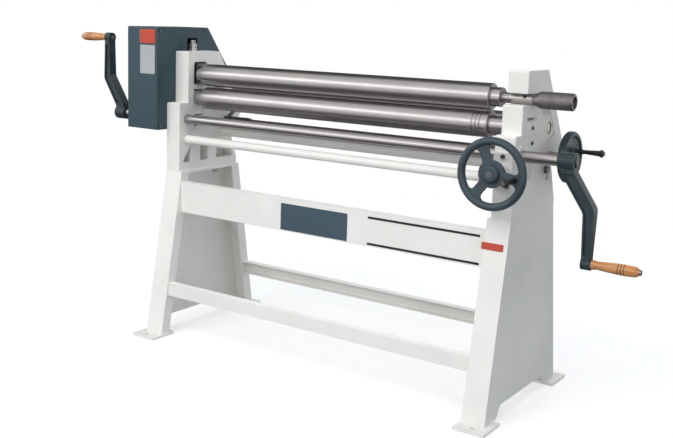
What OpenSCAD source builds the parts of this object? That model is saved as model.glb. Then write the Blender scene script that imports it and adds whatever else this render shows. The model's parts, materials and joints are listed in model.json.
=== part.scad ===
// Hand-cranked three-roll plate bending machine, millimetres, +Z up.
// Origin: on the floor, at the centre of the four foot bolt holes. +X runs along the rolls, +Y to the back.

/* [Rolls] */
// Diameter of the three rolls
roll_d = 90; // [80:1:100]
// Length of the roll barrels
barrel_l = 1270; // [1000:10:1500]
// Height of the top roll's axis
top_roll_z = 1062; // [1040:1:1080]
// Gap between top and bottom roll at rest
roll_gap = 4; // [3.8:0.1:6]
// Distance of the roll axes in front of the stand's middle
roll_forward = 65; // [55:1:75]
// Offset of the barrels towards the gear end
barrel_shift = 11; // [0:1:20]
// Diameter of the necks beside the barrels
neck_d = 65; // [50:1:75]
// Diameter of the roll journals
journal_d = 36; // [30:1:38]
// Number of wire grooves at the right end of the bottom roll
wire_grooves = 3; // [1:1:4]
// Half width of one wire groove
wire_groove_r = 3; // [2:0.5:4]

/* [Frames] */
// Room between a barrel's end and the side frame, on average
barrel_room = 58; // [54:1:64]
// Thickness of a side frame
frame_t = 70; // [66:1:80]
// Height of the side frames' top edge
frame_top_z = 1155; // [1150:1:1180]
// Height of the joint between side frame and leg
base_z = 671; // [640:1:680]
// Height of the step in the front edge
step_z = 948; // [940:1:952]
// Front edge of the left upper frame, ahead of the rolls
upper_front = 63; // [58:1:70]
// Front edge of the right upper jaw, ahead of the rolls
jaw_front = 40; // [35:1:45]
// Front edge of the right lower jaw, ahead of the rolls
post_front = 71; // [66:1:78]
// Thickness of the flange that stands on the leg
flange_t = 33; // [28:1:36]

/* [Stand] */
// Depth of a leg at its top
leg_top_depth = 357; // [340:1:380]
// Depth of a leg at the floor
leg_floor_depth = 587; // [540:1:640]
// Width of a leg along the rolls
leg_w = 84; // [80:1:95]
// Thickness of the leg's bent sheet
leg_sheet = 5; // [4:0.5:8]
// Width of the return lips on the open side
lip_w = 45; // [35:1:60]
// Thickness of a foot plate
foot_t = 10; // [8:1:16]
// Length of a foot plate, front to back
foot_l = 122; // [100:1:140]
// Width of a foot plate
foot_w = 113; // [105:1:130]
// Diameter of the foot bolt holes
foot_hole_d = 14; // [10:1:18]
// Front to back distance of the foot bolt holes
foot_pitch_y = 636; // [600:1:680]
// Height of the front beam
beam_h = 124; // [100:1:140]
// Depth of the front beam's flanges
beam_deep = 36; // [30:1:44]
// Height of the front beam's lower edge
beam_z = 506; // [480:1:520]
// Height of the lower rails
rail_h = 52; // [40:1:60]
// Depth of a lower rail's flanges
rail_deep = 30; // [24:1:40]
// Height of the lower rails' bottom edge
rail_z = 168; // [140:1:200]
// Thickness of beam and rail sheet
rail_sheet = 4; // [3:0.5:5]
// Diameter of the tie bars
tie_d = 34; // [28:1:36]

/* [Crank drive] */
// Distance of the crank shaft in front of the rolls
crank_forward = 70; // [64:1:74]
// Diameter of the crank shaft
shaft_d = 38; // [32:1:40]
// Throw of the cranks
crank_throw = 315; // [250:1:340]
// Sideways set of the crank arms
crank_set = 78; // [60:1:90]
// Length of the crank hubs
crank_hub_l = 54; // [48:1:60]
// Distance from frame to the right crank hub
crank_reach_right = 133; // [120:1:160]
// Distance from frame to the left crank hub
crank_reach_left = 271; // [240:1:300]
// Length of the wooden grips
grip_l = 150; // [120:1:170]
// Largest diameter of the wooden grips
grip_d = 36; // [30:1:42]
// Gear module
gear_module = 5; // [4.9:0.05:5.05]
// Teeth of the crank pinion
pinion_teeth = 13; // [12:1:14]
// Teeth of the large gear on the top roll's drive sleeve
main_teeth = 64; // [63:1:65]
// Face width of the large gear
gear_w = 26; // [22:1:30]
// Teeth of the equal gears that join top and bottom roll
roll_teeth = 18; // [17:1:18]
// Face width of the equal gears
roll_gear_w = 28; // [22:1:30]

/* [Gear cover] */
// Width of the gear cover along the rolls
cover_w = 164; // [150:1:190]
// Height of the gear cover above the side frame's top edge
cover_rise = 96; // [84:1:110]
// Bottom of the gear cover
cover_bottom_z = 838; // [826:1:840]
// Front of the gear cover, ahead of the rolls
cover_front = 170; // [170:1:180]
// Back of the gear cover, behind the rolls
cover_back = 282; // [250:1:300]
// Sheet thickness of the gear cover
cover_sheet = 2; // [1.5:0.5:3]

/* [Adjustment] */
// Diameter of the front hand wheel
front_wheel_d = 236; // [200:1:250]
// Height of the front hand wheel's axis
front_wheel_z = 835; // [832:1:838]
// Distance of the front hand wheel's rim ahead of the rolls
front_wheel_reach = 205; // [195:1:230]
// Diameter of the side hand wheel
side_wheel_d = 175; // [150:1:190]
// Distance from frame to the side hand wheel's rim
side_wheel_reach = 74; // [66:1:84]
// Upward travel of the bottom roll from rest
pinch_travel = 3.5; // [2:0.1:3.5]
// Travel of the rear roll along its slot
rear_travel = 60; // [40:1:60]
// Slope of the rear roll's slot
rear_slope = 57.4; // [55:0.1:60]
// Width of the rear roll's slot
rear_slot_w = 60; // [58:1:62]

/* [Fits] */
// Radial clearance of turning fits
run_clear = 0.05; // [0.02:0.01:0.1]
// Clearance of sliding faces
slide_clear = 0.3; // [0.2:0.05:0.4]

/* [Hidden] */
$fn = 64;
cut = 1;
roll_y = -roll_forward;
roll_r = roll_d / 2;
journal_r = journal_d / 2;
bottom_roll_z = top_roll_z - roll_d - roll_gap;
frame_half = barrel_l / 2 + barrel_room;
frame_outer = frame_half + frame_t;
frame_mid = frame_half + frame_t / 2;
cover_top_z = frame_top_z + cover_rise;
barrel_left = -barrel_l / 2 - barrel_shift;
barrel_right = barrel_l / 2 - barrel_shift;

// Bushes and bearing blocks
bush_wall = 4;
block_half = journal_r + bush_wall + 6;
block_inset = 2;
bottom_slot_z = bottom_roll_z - 70;
bottom_slot_top = bottom_roll_z + 35;
bottom_block_top = bottom_roll_z + 25;
mouth_floor = top_roll_z - journal_r - slide_clear;
mouth_roof = top_roll_z + journal_r + slide_clear;

// Swivel bearing of the top roll in the left frame: a yoke on two upright pins, the roll's ball between them
window_front = 29;
window_back = 60;
window_deep = 55;
window_z0 = top_roll_z - 39;
window_z1 = top_roll_z + 51;
yoke_z0 = window_z0 + slide_clear;
yoke_z1 = top_roll_z + 44;
yoke_front = 21;
yoke_back = 40;
yoke_start = 20;
yoke_end = 46;
ear_half = 18;
ear_reach = 15;
ear_low_t = 9;
ear_high_t = 14;
kingpin_r = 10;
kingpin_top = frame_top_z + 45;
left_journal_r = 15;
left_bush_wall = 2.5;
ball_r = 19;
ball_clear = 0.2;

// Drive sleeve that holds the ball and turns in the left frame's boss
sleeve_r = 27;
sleeve_shaft_r = 20;
sleeve_mouth = 14;
cup_deep = 22;
boss_r = 42;
boss_out = 12;
pin_r = 4;
pin_half = 26;
pin_slot_l = 16.5;
pin_side_clear = 0.4;
roll_gear_x1 = -frame_outer - boss_out - 14;
roll_gear_x0 = roll_gear_x1 - roll_gear_w;
gear_x = roll_gear_x0 - 6 - gear_w;
sleeve_end = gear_x - 22;
roll_module = (roll_d + roll_gap - pinch_travel - 0.5) / roll_teeth;

// Rear roll's slot, as positions along and across its slope, from the roll's rest place
rear_y = 162;
rear_z = 957;
slope_dir = [cos(rear_slope), -sin(rear_slope)];
slope_side = [sin(rear_slope), cos(rear_slope)];
function slope_at(along, across) = [rear_y, rear_z] + along * slope_dir + across * slope_side;
rear_half = rear_slot_w / 2;
rear_block_up = 34;
rear_block_down = 40;
rear_floor = 45;
lift_screw_r = 12;
nut_mid = 85;
nut_h = 20;
nut_teeth = 18;
nut_module = 2.6;
worm_r = 15;
worm_gap = 0.5;
nut_tip_r = (nut_teeth / 2 + 1) * nut_module;
worm_across = -(nut_tip_r + worm_r + worm_gap);
cross_yz = slope_at(nut_mid, worm_across);
cross_r = 12.5;
pocket_deep = 62;

// Crank shaft place follows from the gear centres
mesh_ease = 0.15;
mesh_distance = gear_module * (pinion_teeth + main_teeth) / 2 + mesh_ease;
crank_z = top_roll_z - sqrt(pow(mesh_distance, 2) - pow(crank_forward, 2));
mesh_angle = atan2(crank_z - top_roll_z, -crank_forward);
shaft_r = shaft_d / 2;
crank_bush_r = shaft_r + 6;
right_hub_x = frame_outer + crank_reach_right;
left_hub_x = -frame_outer - crank_reach_left - crank_hub_l;
crank_hub_r = shaft_r + 9;
crank_eye_r = 17;
spindle_r = 6;

// Pinch adjustment under the bottom roll
bevel_r = 20;
bevel_face = 7;
bevel_gap = 0.4;
pinch_shaft_z = front_wheel_z + 2 * (bevel_r + bevel_gap);
pinch_shaft_r = 10;
pinch_screw_r = 12;
pinch_stem_r = 8;
pinch_screw_top = bottom_slot_z + 32;
pinch_pocket_half = 27;
right_pocket_z = front_wheel_z - 20;
left_pocket_z = pinch_shaft_z - 24;
step_bearing_deep = 12;
bearing_plate_t = 8;
bearing_plate_half_h = 18;
front_shaft_r = 11;
front_flange_t = 12;

// Tie bars, front and rear, as places relative to the roll axes
tie_places = [[-69, 800], [145, 815]];
tie_screw_r = 8;

// Frame feet
bolt_y = [-70, 135];
bolt_r = 8;
bolt_in = 25;
foot_pocket_deep = 50;
flange_top = base_z + flange_t;
top_plate_t = 10;
base_front = roll_forward - leg_top_depth / 2;
base_back = roll_forward + leg_top_depth / 2;
foot_out = 24;
leg_inner = frame_outer - leg_w;
foot_pitch_x = 2 * (frame_outer + foot_out) - foot_w + 7;

// Corner rounding for outlines: each point is [x, y, radius]
function unit(v) = v / norm(v);
function turn(a) = a > 180 ? a - 360 : a < -180 ? a + 360 : a;
function arc_points(centre, from, to, r, steps) =
    let (a0 = atan2(from.y - centre.y, from.x - centre.x), a1 = atan2(to.y - centre.y, to.x - centre.x))
    [for (i = [0:steps]) centre + r * [cos(a0 + turn(a1 - a0) * i / steps),
        sin(a0 + turn(a1 - a0) * i / steps)]];
function corner(a, b, c, r) = r == 0 ? [b] :
    let (u = unit(a - b), w = unit(c - b), half = acos(u * w) / 2, reach = r / tan(half))
    arc_points(b + unit(u + w) * r / sin(half), b + u * reach, b + w * reach, r, r > 30 ? 8 : 4);
function flat(p) = [p.x, p.y];
function outline(p) = [for (i = [0:len(p) - 1])
    each corner(flat(p[(i + len(p) - 1) % len(p)]), flat(p[i]), flat(p[(i + 1) % len(p)]), p[i][2])];

// Slab across X on one side, from inner to outer distance off the frame's inner face, drawn as [y, z]
module side_slab(side, inner, outer) {
    translate([side > 0 ? frame_half + inner : -frame_half - outer, 0, 0])
        rotate([90, 0, 90]) linear_extrude(outer - inner) children();
}
// The same, with y counted from the roll axes
module frame_slab(side, inner, outer) {
    translate([0, roll_y, 0]) side_slab(side, inner, outer) children();
}
// Round bar along X at a place counted from the roll axes
module bar_x(x0, x1, yz, r) {
    translate([x0, roll_y + yz.x, yz.y]) rotate([0, 90, 0]) cylinder(r = r, h = x1 - x0);
}
module frame_bore(side, inner, outer, yz, r) {
    bar_x(side > 0 ? frame_half + inner : -frame_half - outer,
        side > 0 ? frame_half + outer : -frame_half - inner, yz, r);
}
// Local frame at the rear slot: +Z down the slope, origin on the slot's middle line
module on_slope(side, along) {
    translate([side * frame_mid, roll_y + slope_at(along, 0).x, slope_at(along, 0).y])
        rotate([-90 - rear_slope, 0, 0]) children();
}

// Stand
function leg_edge(z) = leg_floor_depth / 2 - (leg_floor_depth - leg_top_depth) / 2 * z / base_z;
module leg_band(front, inset, wide) {
    polygon([for (p = [[foot_t, inset], [base_z, inset], [base_z, inset + wide], [foot_t, inset + wide]])
        [front * (leg_edge(p[0]) - p[1]), p[0]]]);
}
module leg(side) {
    arch_half = foot_pitch_y / 2 - foot_l + 10;
    arch_z = 52;
    difference() {
        union() {
            side_slab(side, frame_t - leg_sheet, frame_t) difference() {
                polygon([[-leg_edge(foot_t), foot_t], [leg_edge(foot_t), foot_t],
                    [leg_edge(base_z), base_z], [-leg_edge(base_z), base_z]]);
                polygon(outline([[-arch_half, foot_t - cut, 0], [arch_half, foot_t - cut, 0],
                    [arch_half - 30, arch_z, 15], [-arch_half + 30, arch_z, 15]]));
            }
            for (front = [-1, 1]) {
                side_slab(side, frame_t - leg_w, frame_t) leg_band(front, 0, leg_sheet);
                side_slab(side, frame_t - leg_w, frame_t - leg_w + leg_sheet) leg_band(front, 0, lip_w);
            }
            side_slab(side, frame_t - leg_w, frame_t)
                translate([-leg_edge(base_z), base_z - top_plate_t]) square([leg_top_depth, top_plate_t]);
        }
        for (y = bolt_y) translate([side * (frame_half + bolt_in), roll_y + y, base_z - top_plate_t - cut])
            cylinder(r = bolt_r + slide_clear, h = top_plate_t + 2 * cut);
    }
}
module left_leg() { color("ivory") leg(-1); }
module right_leg() { color("ivory") leg(1); }
module foot_plates() {
    color("ivory") for (sx = [-1, 1], sy = [-1, 1]) difference() {
        translate([sx * (frame_outer + foot_out - foot_w / 2), sy * (foot_pitch_y / 2 - 32), 0])
            linear_extrude(foot_t) square([foot_w, foot_l], center = true);
        translate([sx * foot_pitch_x / 2, sy * foot_pitch_y / 2, -cut])
            cylinder(d = foot_hole_d, h = foot_t + 2 * cut);
    }
}
// Bent channel between the legs, open to the inside
module channel(face_y, z, h, deep) {
    dir = face_y < 0 ? 1 : -1;
    translate([-leg_inner, 0, 0]) rotate([90, 0, 90]) linear_extrude(2 * leg_inner) difference() {
        polygon([[face_y, z], [face_y + dir * deep, z], [face_y + dir * deep, z + h], [face_y, z + h]]);
        polygon([[face_y + dir * rail_sheet, z + rail_sheet], [face_y + dir * (deep + cut), z + rail_sheet],
            [face_y + dir * (deep + cut), z + h - rail_sheet],
                [face_y + dir * rail_sheet, z + h - rail_sheet]]);
    }
}
// Step between a leg's edge and the face of the beam or rail between the legs
rail_set = 3;
module front_beam() {
    color("ivory") channel(rail_set - leg_edge(beam_z + beam_h), beam_z, beam_h, beam_deep);
}
module front_rail() {
    color("ivory") channel(rail_set - leg_edge(rail_z + rail_h), rail_z, rail_h, rail_deep);
}
module rear_rail() {
    color("ivory") channel(leg_edge(rail_z + rail_h) - rail_set, rail_z, rail_h, rail_deep);
}

// Side frames
lobe_tip = [284, 905];
back_edge = [[lobe_tip.x, lobe_tip.y, 25], [254, 868, 12], [195, 858, 6], [197, 825, 45],
    [base_back, base_z + 26, 30], [base_back, base_z, 0]];
top_back = 124;
module left_outline() {
    polygon(outline(concat([[base_front, base_z, 0], [base_front, step_z, 8], [-upper_front, step_z, 0],
        [-upper_front, frame_top_z, 6], [top_back, frame_top_z, 12]], back_edge)));
}
module right_outline() {
    front_low = slope_at(rear_floor, -rear_half);
    back_low = slope_at(rear_floor, rear_half);
    front_top = front_low - slope_dir * (mouth_floor - front_low.y) / sin(rear_slope);
    back_top = back_low - slope_dir * (mouth_roof - back_low.y) / sin(rear_slope);
    polygon(outline(concat([[base_front, base_z, 0], [base_front, step_z, 8], [-post_front, step_z, 0],
        [-post_front, mouth_floor, 4], [front_top.x, mouth_floor, 90],
        [front_low.x, front_low.y, 0], [back_low.x, back_low.y, 0], [back_top.x, mouth_roof, 12],
        [-jaw_front, mouth_roof, 3], [-jaw_front, frame_top_z, 6], [top_back, frame_top_z, 12]],
            back_edge)));
}
// Casting pockets above the foot flange, between two upright columns
module foot_pockets() {
    pocket_top = 776;
    polygon(outline([[-95, flange_top, 3], [-44, flange_top, 3], [-44, pocket_top, 3]]));
    polygon(outline([[12, flange_top, 5], [62, flange_top, 5], [62, pocket_top, 10],
        [12, pocket_top, 10]]));
    polygon(outline([[112, flange_top, 5], [222, flange_top, 5], [188, pocket_top, 10],
        [112, pocket_top, 10]]));
}
module pinch_cuts(side, pocket_z) {
    frame_slab(side, -cut, frame_t + cut) translate([-block_half, bottom_slot_z])
        square([2 * block_half, bottom_slot_top - bottom_slot_z]);
    frame_slab(side, -cut, pocket_deep) translate([-pinch_pocket_half, pocket_z])
        square([2 * pinch_pocket_half, bottom_slot_z + cut - pocket_z]);
    translate([side * frame_mid, roll_y, pocket_z - step_bearing_deep])
        cylinder(r = pinch_stem_r + run_clear, h = step_bearing_deep + cut);
}
module lift_cuts(side) {
    on_slope(side, rear_floor - cut) cylinder(r = lift_screw_r + 1, h = 120);
    frame_slab(side, -cut, pocket_deep)
        polygon([slope_at(nut_mid - nut_h / 2 - slide_clear, -nut_tip_r - 2),
        slope_at(nut_mid + nut_h / 2 + slide_clear, -nut_tip_r - 2),
        slope_at(nut_mid + nut_h / 2 + slide_clear, nut_tip_r + 2),
        slope_at(nut_mid - nut_h / 2 - slide_clear, nut_tip_r + 2)]);
    frame_bore(side, -cut, pocket_deep, cross_yz, worm_r + 2);
}
module common_cuts(side, pocket_z) {
    frame_slab(side, -cut, foot_pocket_deep) foot_pockets();
    pinch_cuts(side, pocket_z);
    lift_cuts(side);
    frame_bore(side, -cut, frame_t + cut, [-crank_forward, crank_z], crank_bush_r);
    for (p = tie_places) frame_bore(side, -cut, frame_t + cut, p, tie_screw_r + slide_clear);
    for (y = bolt_y) translate([side * (frame_half + bolt_in), roll_y + y, base_z - cut])
        cylinder(r = bolt_r + slide_clear, h = flange_t + 2 * cut);
}
module left_frame() {
    slot_top = -(rear_block_up + rear_travel + 4);
    color("ivory") difference() {
        union() {
            frame_slab(-1, 0, frame_t) left_outline();
            frame_bore(-1, frame_t - cut, frame_t + boss_out, [0, top_roll_z], boss_r);
        }
        common_cuts(-1, left_pocket_z);
        frame_slab(-1, -cut, window_deep) polygon([[-window_front, window_z0], [window_back, window_z0],
            [window_back, window_z1 - 20], [window_back - 20, window_z1], [-window_front, window_z1]]);
        frame_bore(-1, window_deep - cut, frame_t + boss_out + cut, [0, top_roll_z], sleeve_r + run_clear);
        frame_slab(-1, -cut, frame_t + cut)
            polygon([slope_at(slot_top, -rear_half), slope_at(rear_floor, -rear_half),
            slope_at(rear_floor, rear_half), slope_at(slot_top, rear_half)]);
        translate([-frame_mid, roll_y, window_z1 - cut])
            cylinder(r = kingpin_r, h = frame_top_z - window_z1 + 2 * cut);
        translate([-frame_mid, roll_y, bottom_slot_top - cut])
            cylinder(r = kingpin_r, h = window_z0 - bottom_slot_top + 2 * cut);
        frame_bore(-1, pocket_deep - cut, frame_t + cut, cross_yz, cross_r + run_clear);
    }
}
// Shallow recesses on the right frame's outer face: inspection strip, rear tie seat and oil hole
recess_deep = 3;
strip_low = [-14, base_z + 125];
strip_high = [20, base_z + 185];
seat_at = tie_places[1] + [22, -29];
seat_half = [8, 10];
oil_hole_at = [232, 925];
// Raised pad over the bottom bearing on the right frame's outer face, with two screws and a gap above it
pad_t = 3;
pad_low = [-32, bottom_roll_z - 75];
pad_high = [46, bottom_roll_z + 22];
pad_gap = [3, 12];
pad_screws = [[8, bottom_roll_z], [8, bottom_roll_z - 50]];
module rounded_field(low, high, r) {
    polygon(outline([[low.x, low.y, r], [high.x, low.y, r], [high.x, high.y, r], [low.x, high.y, r]]));
}
module side_recesses() {
    rounded_field(strip_low, strip_high, 5);
    rounded_field(seat_at - seat_half, seat_at + seat_half, 7);
    rounded_field([pad_low.x, pad_high.y + pad_gap[0]], [pad_high.x - 4, pad_high.y + pad_gap[1]], 3);
    translate(oil_hole_at) circle(r = 4);
}
module right_frame() {
    color("ivory") difference() {
        union() {
            frame_slab(1, 0, frame_t) right_outline();
            frame_slab(1, frame_t - cut, frame_t + pad_t) rounded_field(pad_low, pad_high, 8);
        }
        common_cuts(1, right_pocket_z);
        frame_bore(1, pocket_deep - cut, frame_t + cut, cross_yz, cross_r + run_clear);
        frame_slab(1, frame_t - recess_deep, frame_t + cut) side_recesses();
        translate([frame_mid, roll_y, front_wheel_z]) rotate([90, 0, 0])
            cylinder(r = front_shaft_r + run_clear, h = roll_forward + leg_top_depth);
    }
}
module frame_bolts() {
    nut_z = base_z - top_plate_t - 13;
    color("dimgray") for (side = [-1, 1], y = bolt_y)
        translate([side * (frame_half + bolt_in), roll_y + y, 0]) {
        translate([0, 0, flange_top]) cylinder(r = 14, h = 10, $fn = 6);
        translate([0, 0, nut_z - 9]) cylinder(r = bolt_r, h = flange_top + 1 - nut_z + 9);
        translate([0, 0, nut_z]) cylinder(r = 14, h = 13, $fn = 6);
    }
}
module tie_bar(place) {
    difference() {
        bar_x(-frame_half, frame_half, place, tie_d / 2);
        for (side = [-1, 1]) frame_bore(side, -42, cut, place, tie_screw_r);
    }
}
module front_tie_bar() { color("ivory") tie_bar(tie_places[0]); }
module rear_tie_bar() { color("ivory") tie_bar(tie_places[1]); }
module tie_screws() {
    color("dimgray") for (side = [-1, 1], p = tie_places) {
        frame_bore(side, -40, frame_t, p, tie_screw_r);
        frame_bore(side, frame_t, frame_t + 12, p, 13);
    }
}

// Gear cover
function cover_outline(inset) = outline([[-cover_front + inset, cover_bottom_z + inset, 4],
    [-cover_front + inset, cover_top_z - inset, 6], [130 - inset / 2, cover_top_z - inset, 8],
    [cover_back - inset, cover_top_z - 198, 14], [cover_back - inset, cover_bottom_z + inset, 4]]);
cover_gap = 2;
module gear_cover() {
    color("slategray") difference() {
        frame_slab(-1, frame_t + cover_gap + cover_sheet, frame_t + cover_gap + cover_w)
            polygon(cover_outline(0));
        frame_slab(-1, frame_t + cover_gap, frame_t + cover_gap + cover_w - cover_sheet)
            polygon(cover_outline(cover_sheet));
        frame_bore(-1, frame_t + cover_w - 20, frame_t + cover_w + 20, [-crank_forward, crank_z],
            shaft_r + 3);
    }
}
module cover_plate() {
    notch = [[4, frame_top_z - 1], [65, frame_top_z + 52]];
    color("slategray") difference() {
        frame_slab(-1, frame_t, frame_t + cover_gap + cover_sheet) difference() {
            polygon(cover_outline(0));
            translate(notch[0]) square(notch[1] - notch[0]);
        }
        frame_bore(-1, frame_t - cut, frame_t + 20, [0, top_roll_z], boss_r + 3);
        frame_bore(-1, frame_t - cut, frame_t + 20, [0, bottom_roll_z], journal_r + 12);
        frame_bore(-1, frame_t - cut, frame_t + 20, [-crank_forward, crank_z], crank_bush_r + 8);
        frame_bore(-1, frame_t - cut, frame_t + 20, cross_yz, cross_r + 4);
        for (p = tie_places) frame_bore(-1, frame_t - cut, frame_t + 20, p, 15);
    }
}
cover_screw_places = [[-cover_front + 14, cover_top_z - 14], [112, cover_top_z - 14],
    [cover_back - 14, cover_bottom_z + 14], [-cover_front + 14, cover_bottom_z + 14]];
module cover_screws() {
    color("dimgray") for (p = cover_screw_places) frame_bore(-1, frame_t - 4, frame_t, p, 5);
}

// Top roll and its swivel bearing
module kingpin() {
    color("dimgray") translate([-frame_mid, roll_y, 0]) {
        translate([0, 0, yoke_z1 - ear_high_t])
            cylinder(r = kingpin_r, h = kingpin_top - yoke_z1 + ear_high_t);
        for (z = [frame_top_z, frame_top_z + 17]) translate([0, 0, z]) cylinder(r = 17, h = 14, $fn = 6);
    }
}
module lower_pivot() {
    color("dimgray") translate([-frame_mid, roll_y, bottom_slot_top])
        cylinder(r = kingpin_r, h = yoke_z0 + ear_low_t - bottom_slot_top);
}
// Block drawn from the pivot: along the roll, across it, and in height
module yoke_block(x0, x1, y0, y1, z0, z1) {
    translate([-frame_mid + x0, roll_y + y0, z0]) cube([x1 - x0, y1 - y0, z1 - z0]);
}
module swivel_bearing() {
    color("darkslategray") difference() {
        union() {
            yoke_block(yoke_start, yoke_end, -yoke_front, yoke_back, yoke_z0, yoke_z1);
            yoke_block(-ear_reach, yoke_start + cut, -ear_half, ear_half, yoke_z0, yoke_z0 + ear_low_t);
            yoke_block(-ear_reach, yoke_start + cut, -ear_half, ear_half, yoke_z1 - ear_high_t, yoke_z1);
        }
        bar_x(-frame_mid + yoke_start - cut, -frame_mid + yoke_end + cut, [0, top_roll_z],
            left_journal_r + left_bush_wall);
        translate([-frame_mid, roll_y, yoke_z0 - cut])
            cylinder(r = kingpin_r + run_clear, h = yoke_z1 - yoke_z0 + 2 * cut);
    }
}
module top_bush() {
    color("darkgoldenrod") difference() {
        bar_x(-frame_mid + yoke_start, -frame_mid + yoke_end, [0, top_roll_z],
            left_journal_r + left_bush_wall);
        bar_x(-frame_mid, -frame_mid + yoke_end + cut, [0, top_roll_z], left_journal_r + run_clear);
    }
}
module along_roll(z) { translate([0, roll_y, z]) rotate([0, 90, 0]) rotate_extrude() children(); }
top_neck_right = frame_half - 34;
top_end = frame_outer + 4;
module top_roll() {
    left_neck = -frame_mid + yoke_end + 3;
    ring_pitch = 9;
    set_screw_r = 7;
    color("silver") difference() {
        union() {
            translate([-frame_mid, roll_y, top_roll_z]) sphere(r = ball_r);
            along_roll(top_roll_z) difference() {
                polygon([[0, -frame_mid], [left_journal_r, -frame_mid], [left_journal_r, left_neck],
                    [neck_d / 2, left_neck],
                [neck_d / 2, barrel_left], [roll_r - 2, barrel_left], [roll_r, barrel_left + 2],
                    [roll_r, barrel_right - 2],
                [roll_r - 2, barrel_right], [neck_d / 2, barrel_right], [neck_d / 2, top_neck_right - 1],
                [neck_d / 2 - 1, top_neck_right], [journal_r, top_neck_right], [journal_r, top_end],
                    [0, top_end]]);
                for (i = [0:2]) translate([journal_r - 1.5, top_neck_right + 5 + i * ring_pitch])
                    square([5, 3]);
            }
        }
        translate([-frame_mid, roll_y - 2 * ball_r, top_roll_z]) rotate([-90, 0, 0])
            cylinder(r = pin_r, h = 4 * ball_r);
        translate([top_end - 24, roll_y, top_roll_z]) rotate([60, 0, 0]) translate([0, 0, journal_r - 6])
            cylinder(r = set_screw_r, h = 20);
    }
}
module top_roll_handle() {
    handle_r = 28;
    cone_l = 25;
    handle_l = 138;
    color("gray") along_roll(top_roll_z)
        polygon([[0, top_end], [journal_r, top_end], [handle_r - 1, top_end + cone_l],
        [handle_r, top_end + cone_l + 1], [handle_r, top_end + handle_l - 3],
            [handle_r - 3, top_end + handle_l],
        [handle_r - 9, top_end + handle_l], [handle_r - 9, top_end + handle_l - 8],
            [0, top_end + handle_l - 8]]);
}
module coupling_pin() {
    color("dimgray") translate([-frame_mid, roll_y - pin_half, top_roll_z]) rotate([-90, 0, 0])
        cylinder(r = pin_r, h = 2 * pin_half);
}
module drive_sleeve() {
    mouth = -frame_mid + sleeve_mouth;
    cup_end = -frame_mid - cup_deep;
    color("gray") difference() {
        along_roll(top_roll_z) polygon([[0, sleeve_end], [sleeve_shaft_r, sleeve_end],
            [sleeve_shaft_r, roll_gear_x1],
            [sleeve_r, roll_gear_x1], [sleeve_r, mouth], [ball_r + ball_clear, mouth],
                [ball_r + ball_clear, cup_end],
            [0, cup_end]]);
        translate([-frame_mid, roll_y, top_roll_z])
            cube([pin_slot_l, 3 * sleeve_r, 2 * (pin_r + pin_side_clear)], center = true);
    }
}

// Bottom roll with its blocks and gear
wire_pitch = 14;
module bottom_roll() {
    gear_seat = roll_gear_x0 - 2;
    color("silver") along_roll(bottom_roll_z) difference() {
        polygon([[0, gear_seat], [journal_r, gear_seat], [journal_r, -frame_half + 6],
            [neck_d / 2, -frame_half + 6],
            [neck_d / 2, barrel_left], [roll_r - 2, barrel_left], [roll_r, barrel_left + 2],
                [roll_r, barrel_right - 2],
            [roll_r - 2, barrel_right], [neck_d / 2, barrel_right], [neck_d / 2, frame_half - 6],
            [journal_r, frame_half - 6], [journal_r, frame_outer - 6], [0, frame_outer - 6]]);
        for (i = [1:wire_grooves]) translate([roll_r, barrel_right - 12 - i * wire_pitch])
            circle(r = wire_groove_r, $fn = 16);
    }
}
module bottom_block(side) {
    half = block_half - slide_clear;
    difference() {
        frame_slab(side, block_inset, frame_t - block_inset) translate([-half, bottom_slot_z + slide_clear])
            square([2 * half, bottom_block_top - bottom_slot_z - slide_clear]);
        frame_bore(side, -cut, frame_t + cut, [0, bottom_roll_z], journal_r + bush_wall);
        translate([side * frame_mid, roll_y, bottom_slot_z - cut])
            cylinder(r = pinch_screw_r + run_clear,
                h = pinch_screw_top + pinch_travel - bottom_slot_z + cut);
    }
}
module bottom_block_left() { color("ivory") bottom_block(-1); }
module bottom_block_right() { color("ivory") bottom_block(1); }
module bush(side, yz) {
    difference() {
        frame_bore(side, block_inset, frame_t - block_inset, yz, journal_r + bush_wall);
        frame_bore(side, -cut, frame_t + cut, yz, journal_r + run_clear);
    }
}
module bottom_bushes() { color("darkgoldenrod") for (side = [-1, 1]) bush(side, [0, bottom_roll_z]); }

// Involute gear outline, one tooth centred on +X
function involute(a) = tan(a) * 180 / PI - a;
function tooth_half(teeth, base_r, r, thin) =
    90 / teeth - thin + involute(20) - involute(acos(min(1, base_r / r)));
function gear_points(teeth, module_mm, tip_r, thin) =
    let (pitch_r = teeth * module_mm / 2, base_r = pitch_r * cos(20), root_r = pitch_r - 1.2 * module_mm,
        low_r = max(base_r, root_r + 0.3),
        radii = [for (i = [0:3]) low_r + (tip_r - low_r) * i / 3])
    [for (t = [0:teeth - 1]) let (a = 360 * t / teeth) each concat(
        [root_r * [cos(a - tooth_half(teeth, base_r, low_r, thin)),
            sin(a - tooth_half(teeth, base_r, low_r, thin))]],
        [for (r = radii) r * [cos(a - tooth_half(teeth, base_r, r, thin)),
            sin(a - tooth_half(teeth, base_r, r, thin))]],
        [for (i = [3:-1:0]) radii[i] * [cos(a + tooth_half(teeth, base_r, radii[i], thin)),
            sin(a + tooth_half(teeth, base_r, radii[i], thin))]],
        [root_r * [cos(a + tooth_half(teeth, base_r, low_r, thin)),
            sin(a + tooth_half(teeth, base_r, low_r, thin))]])];
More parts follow.
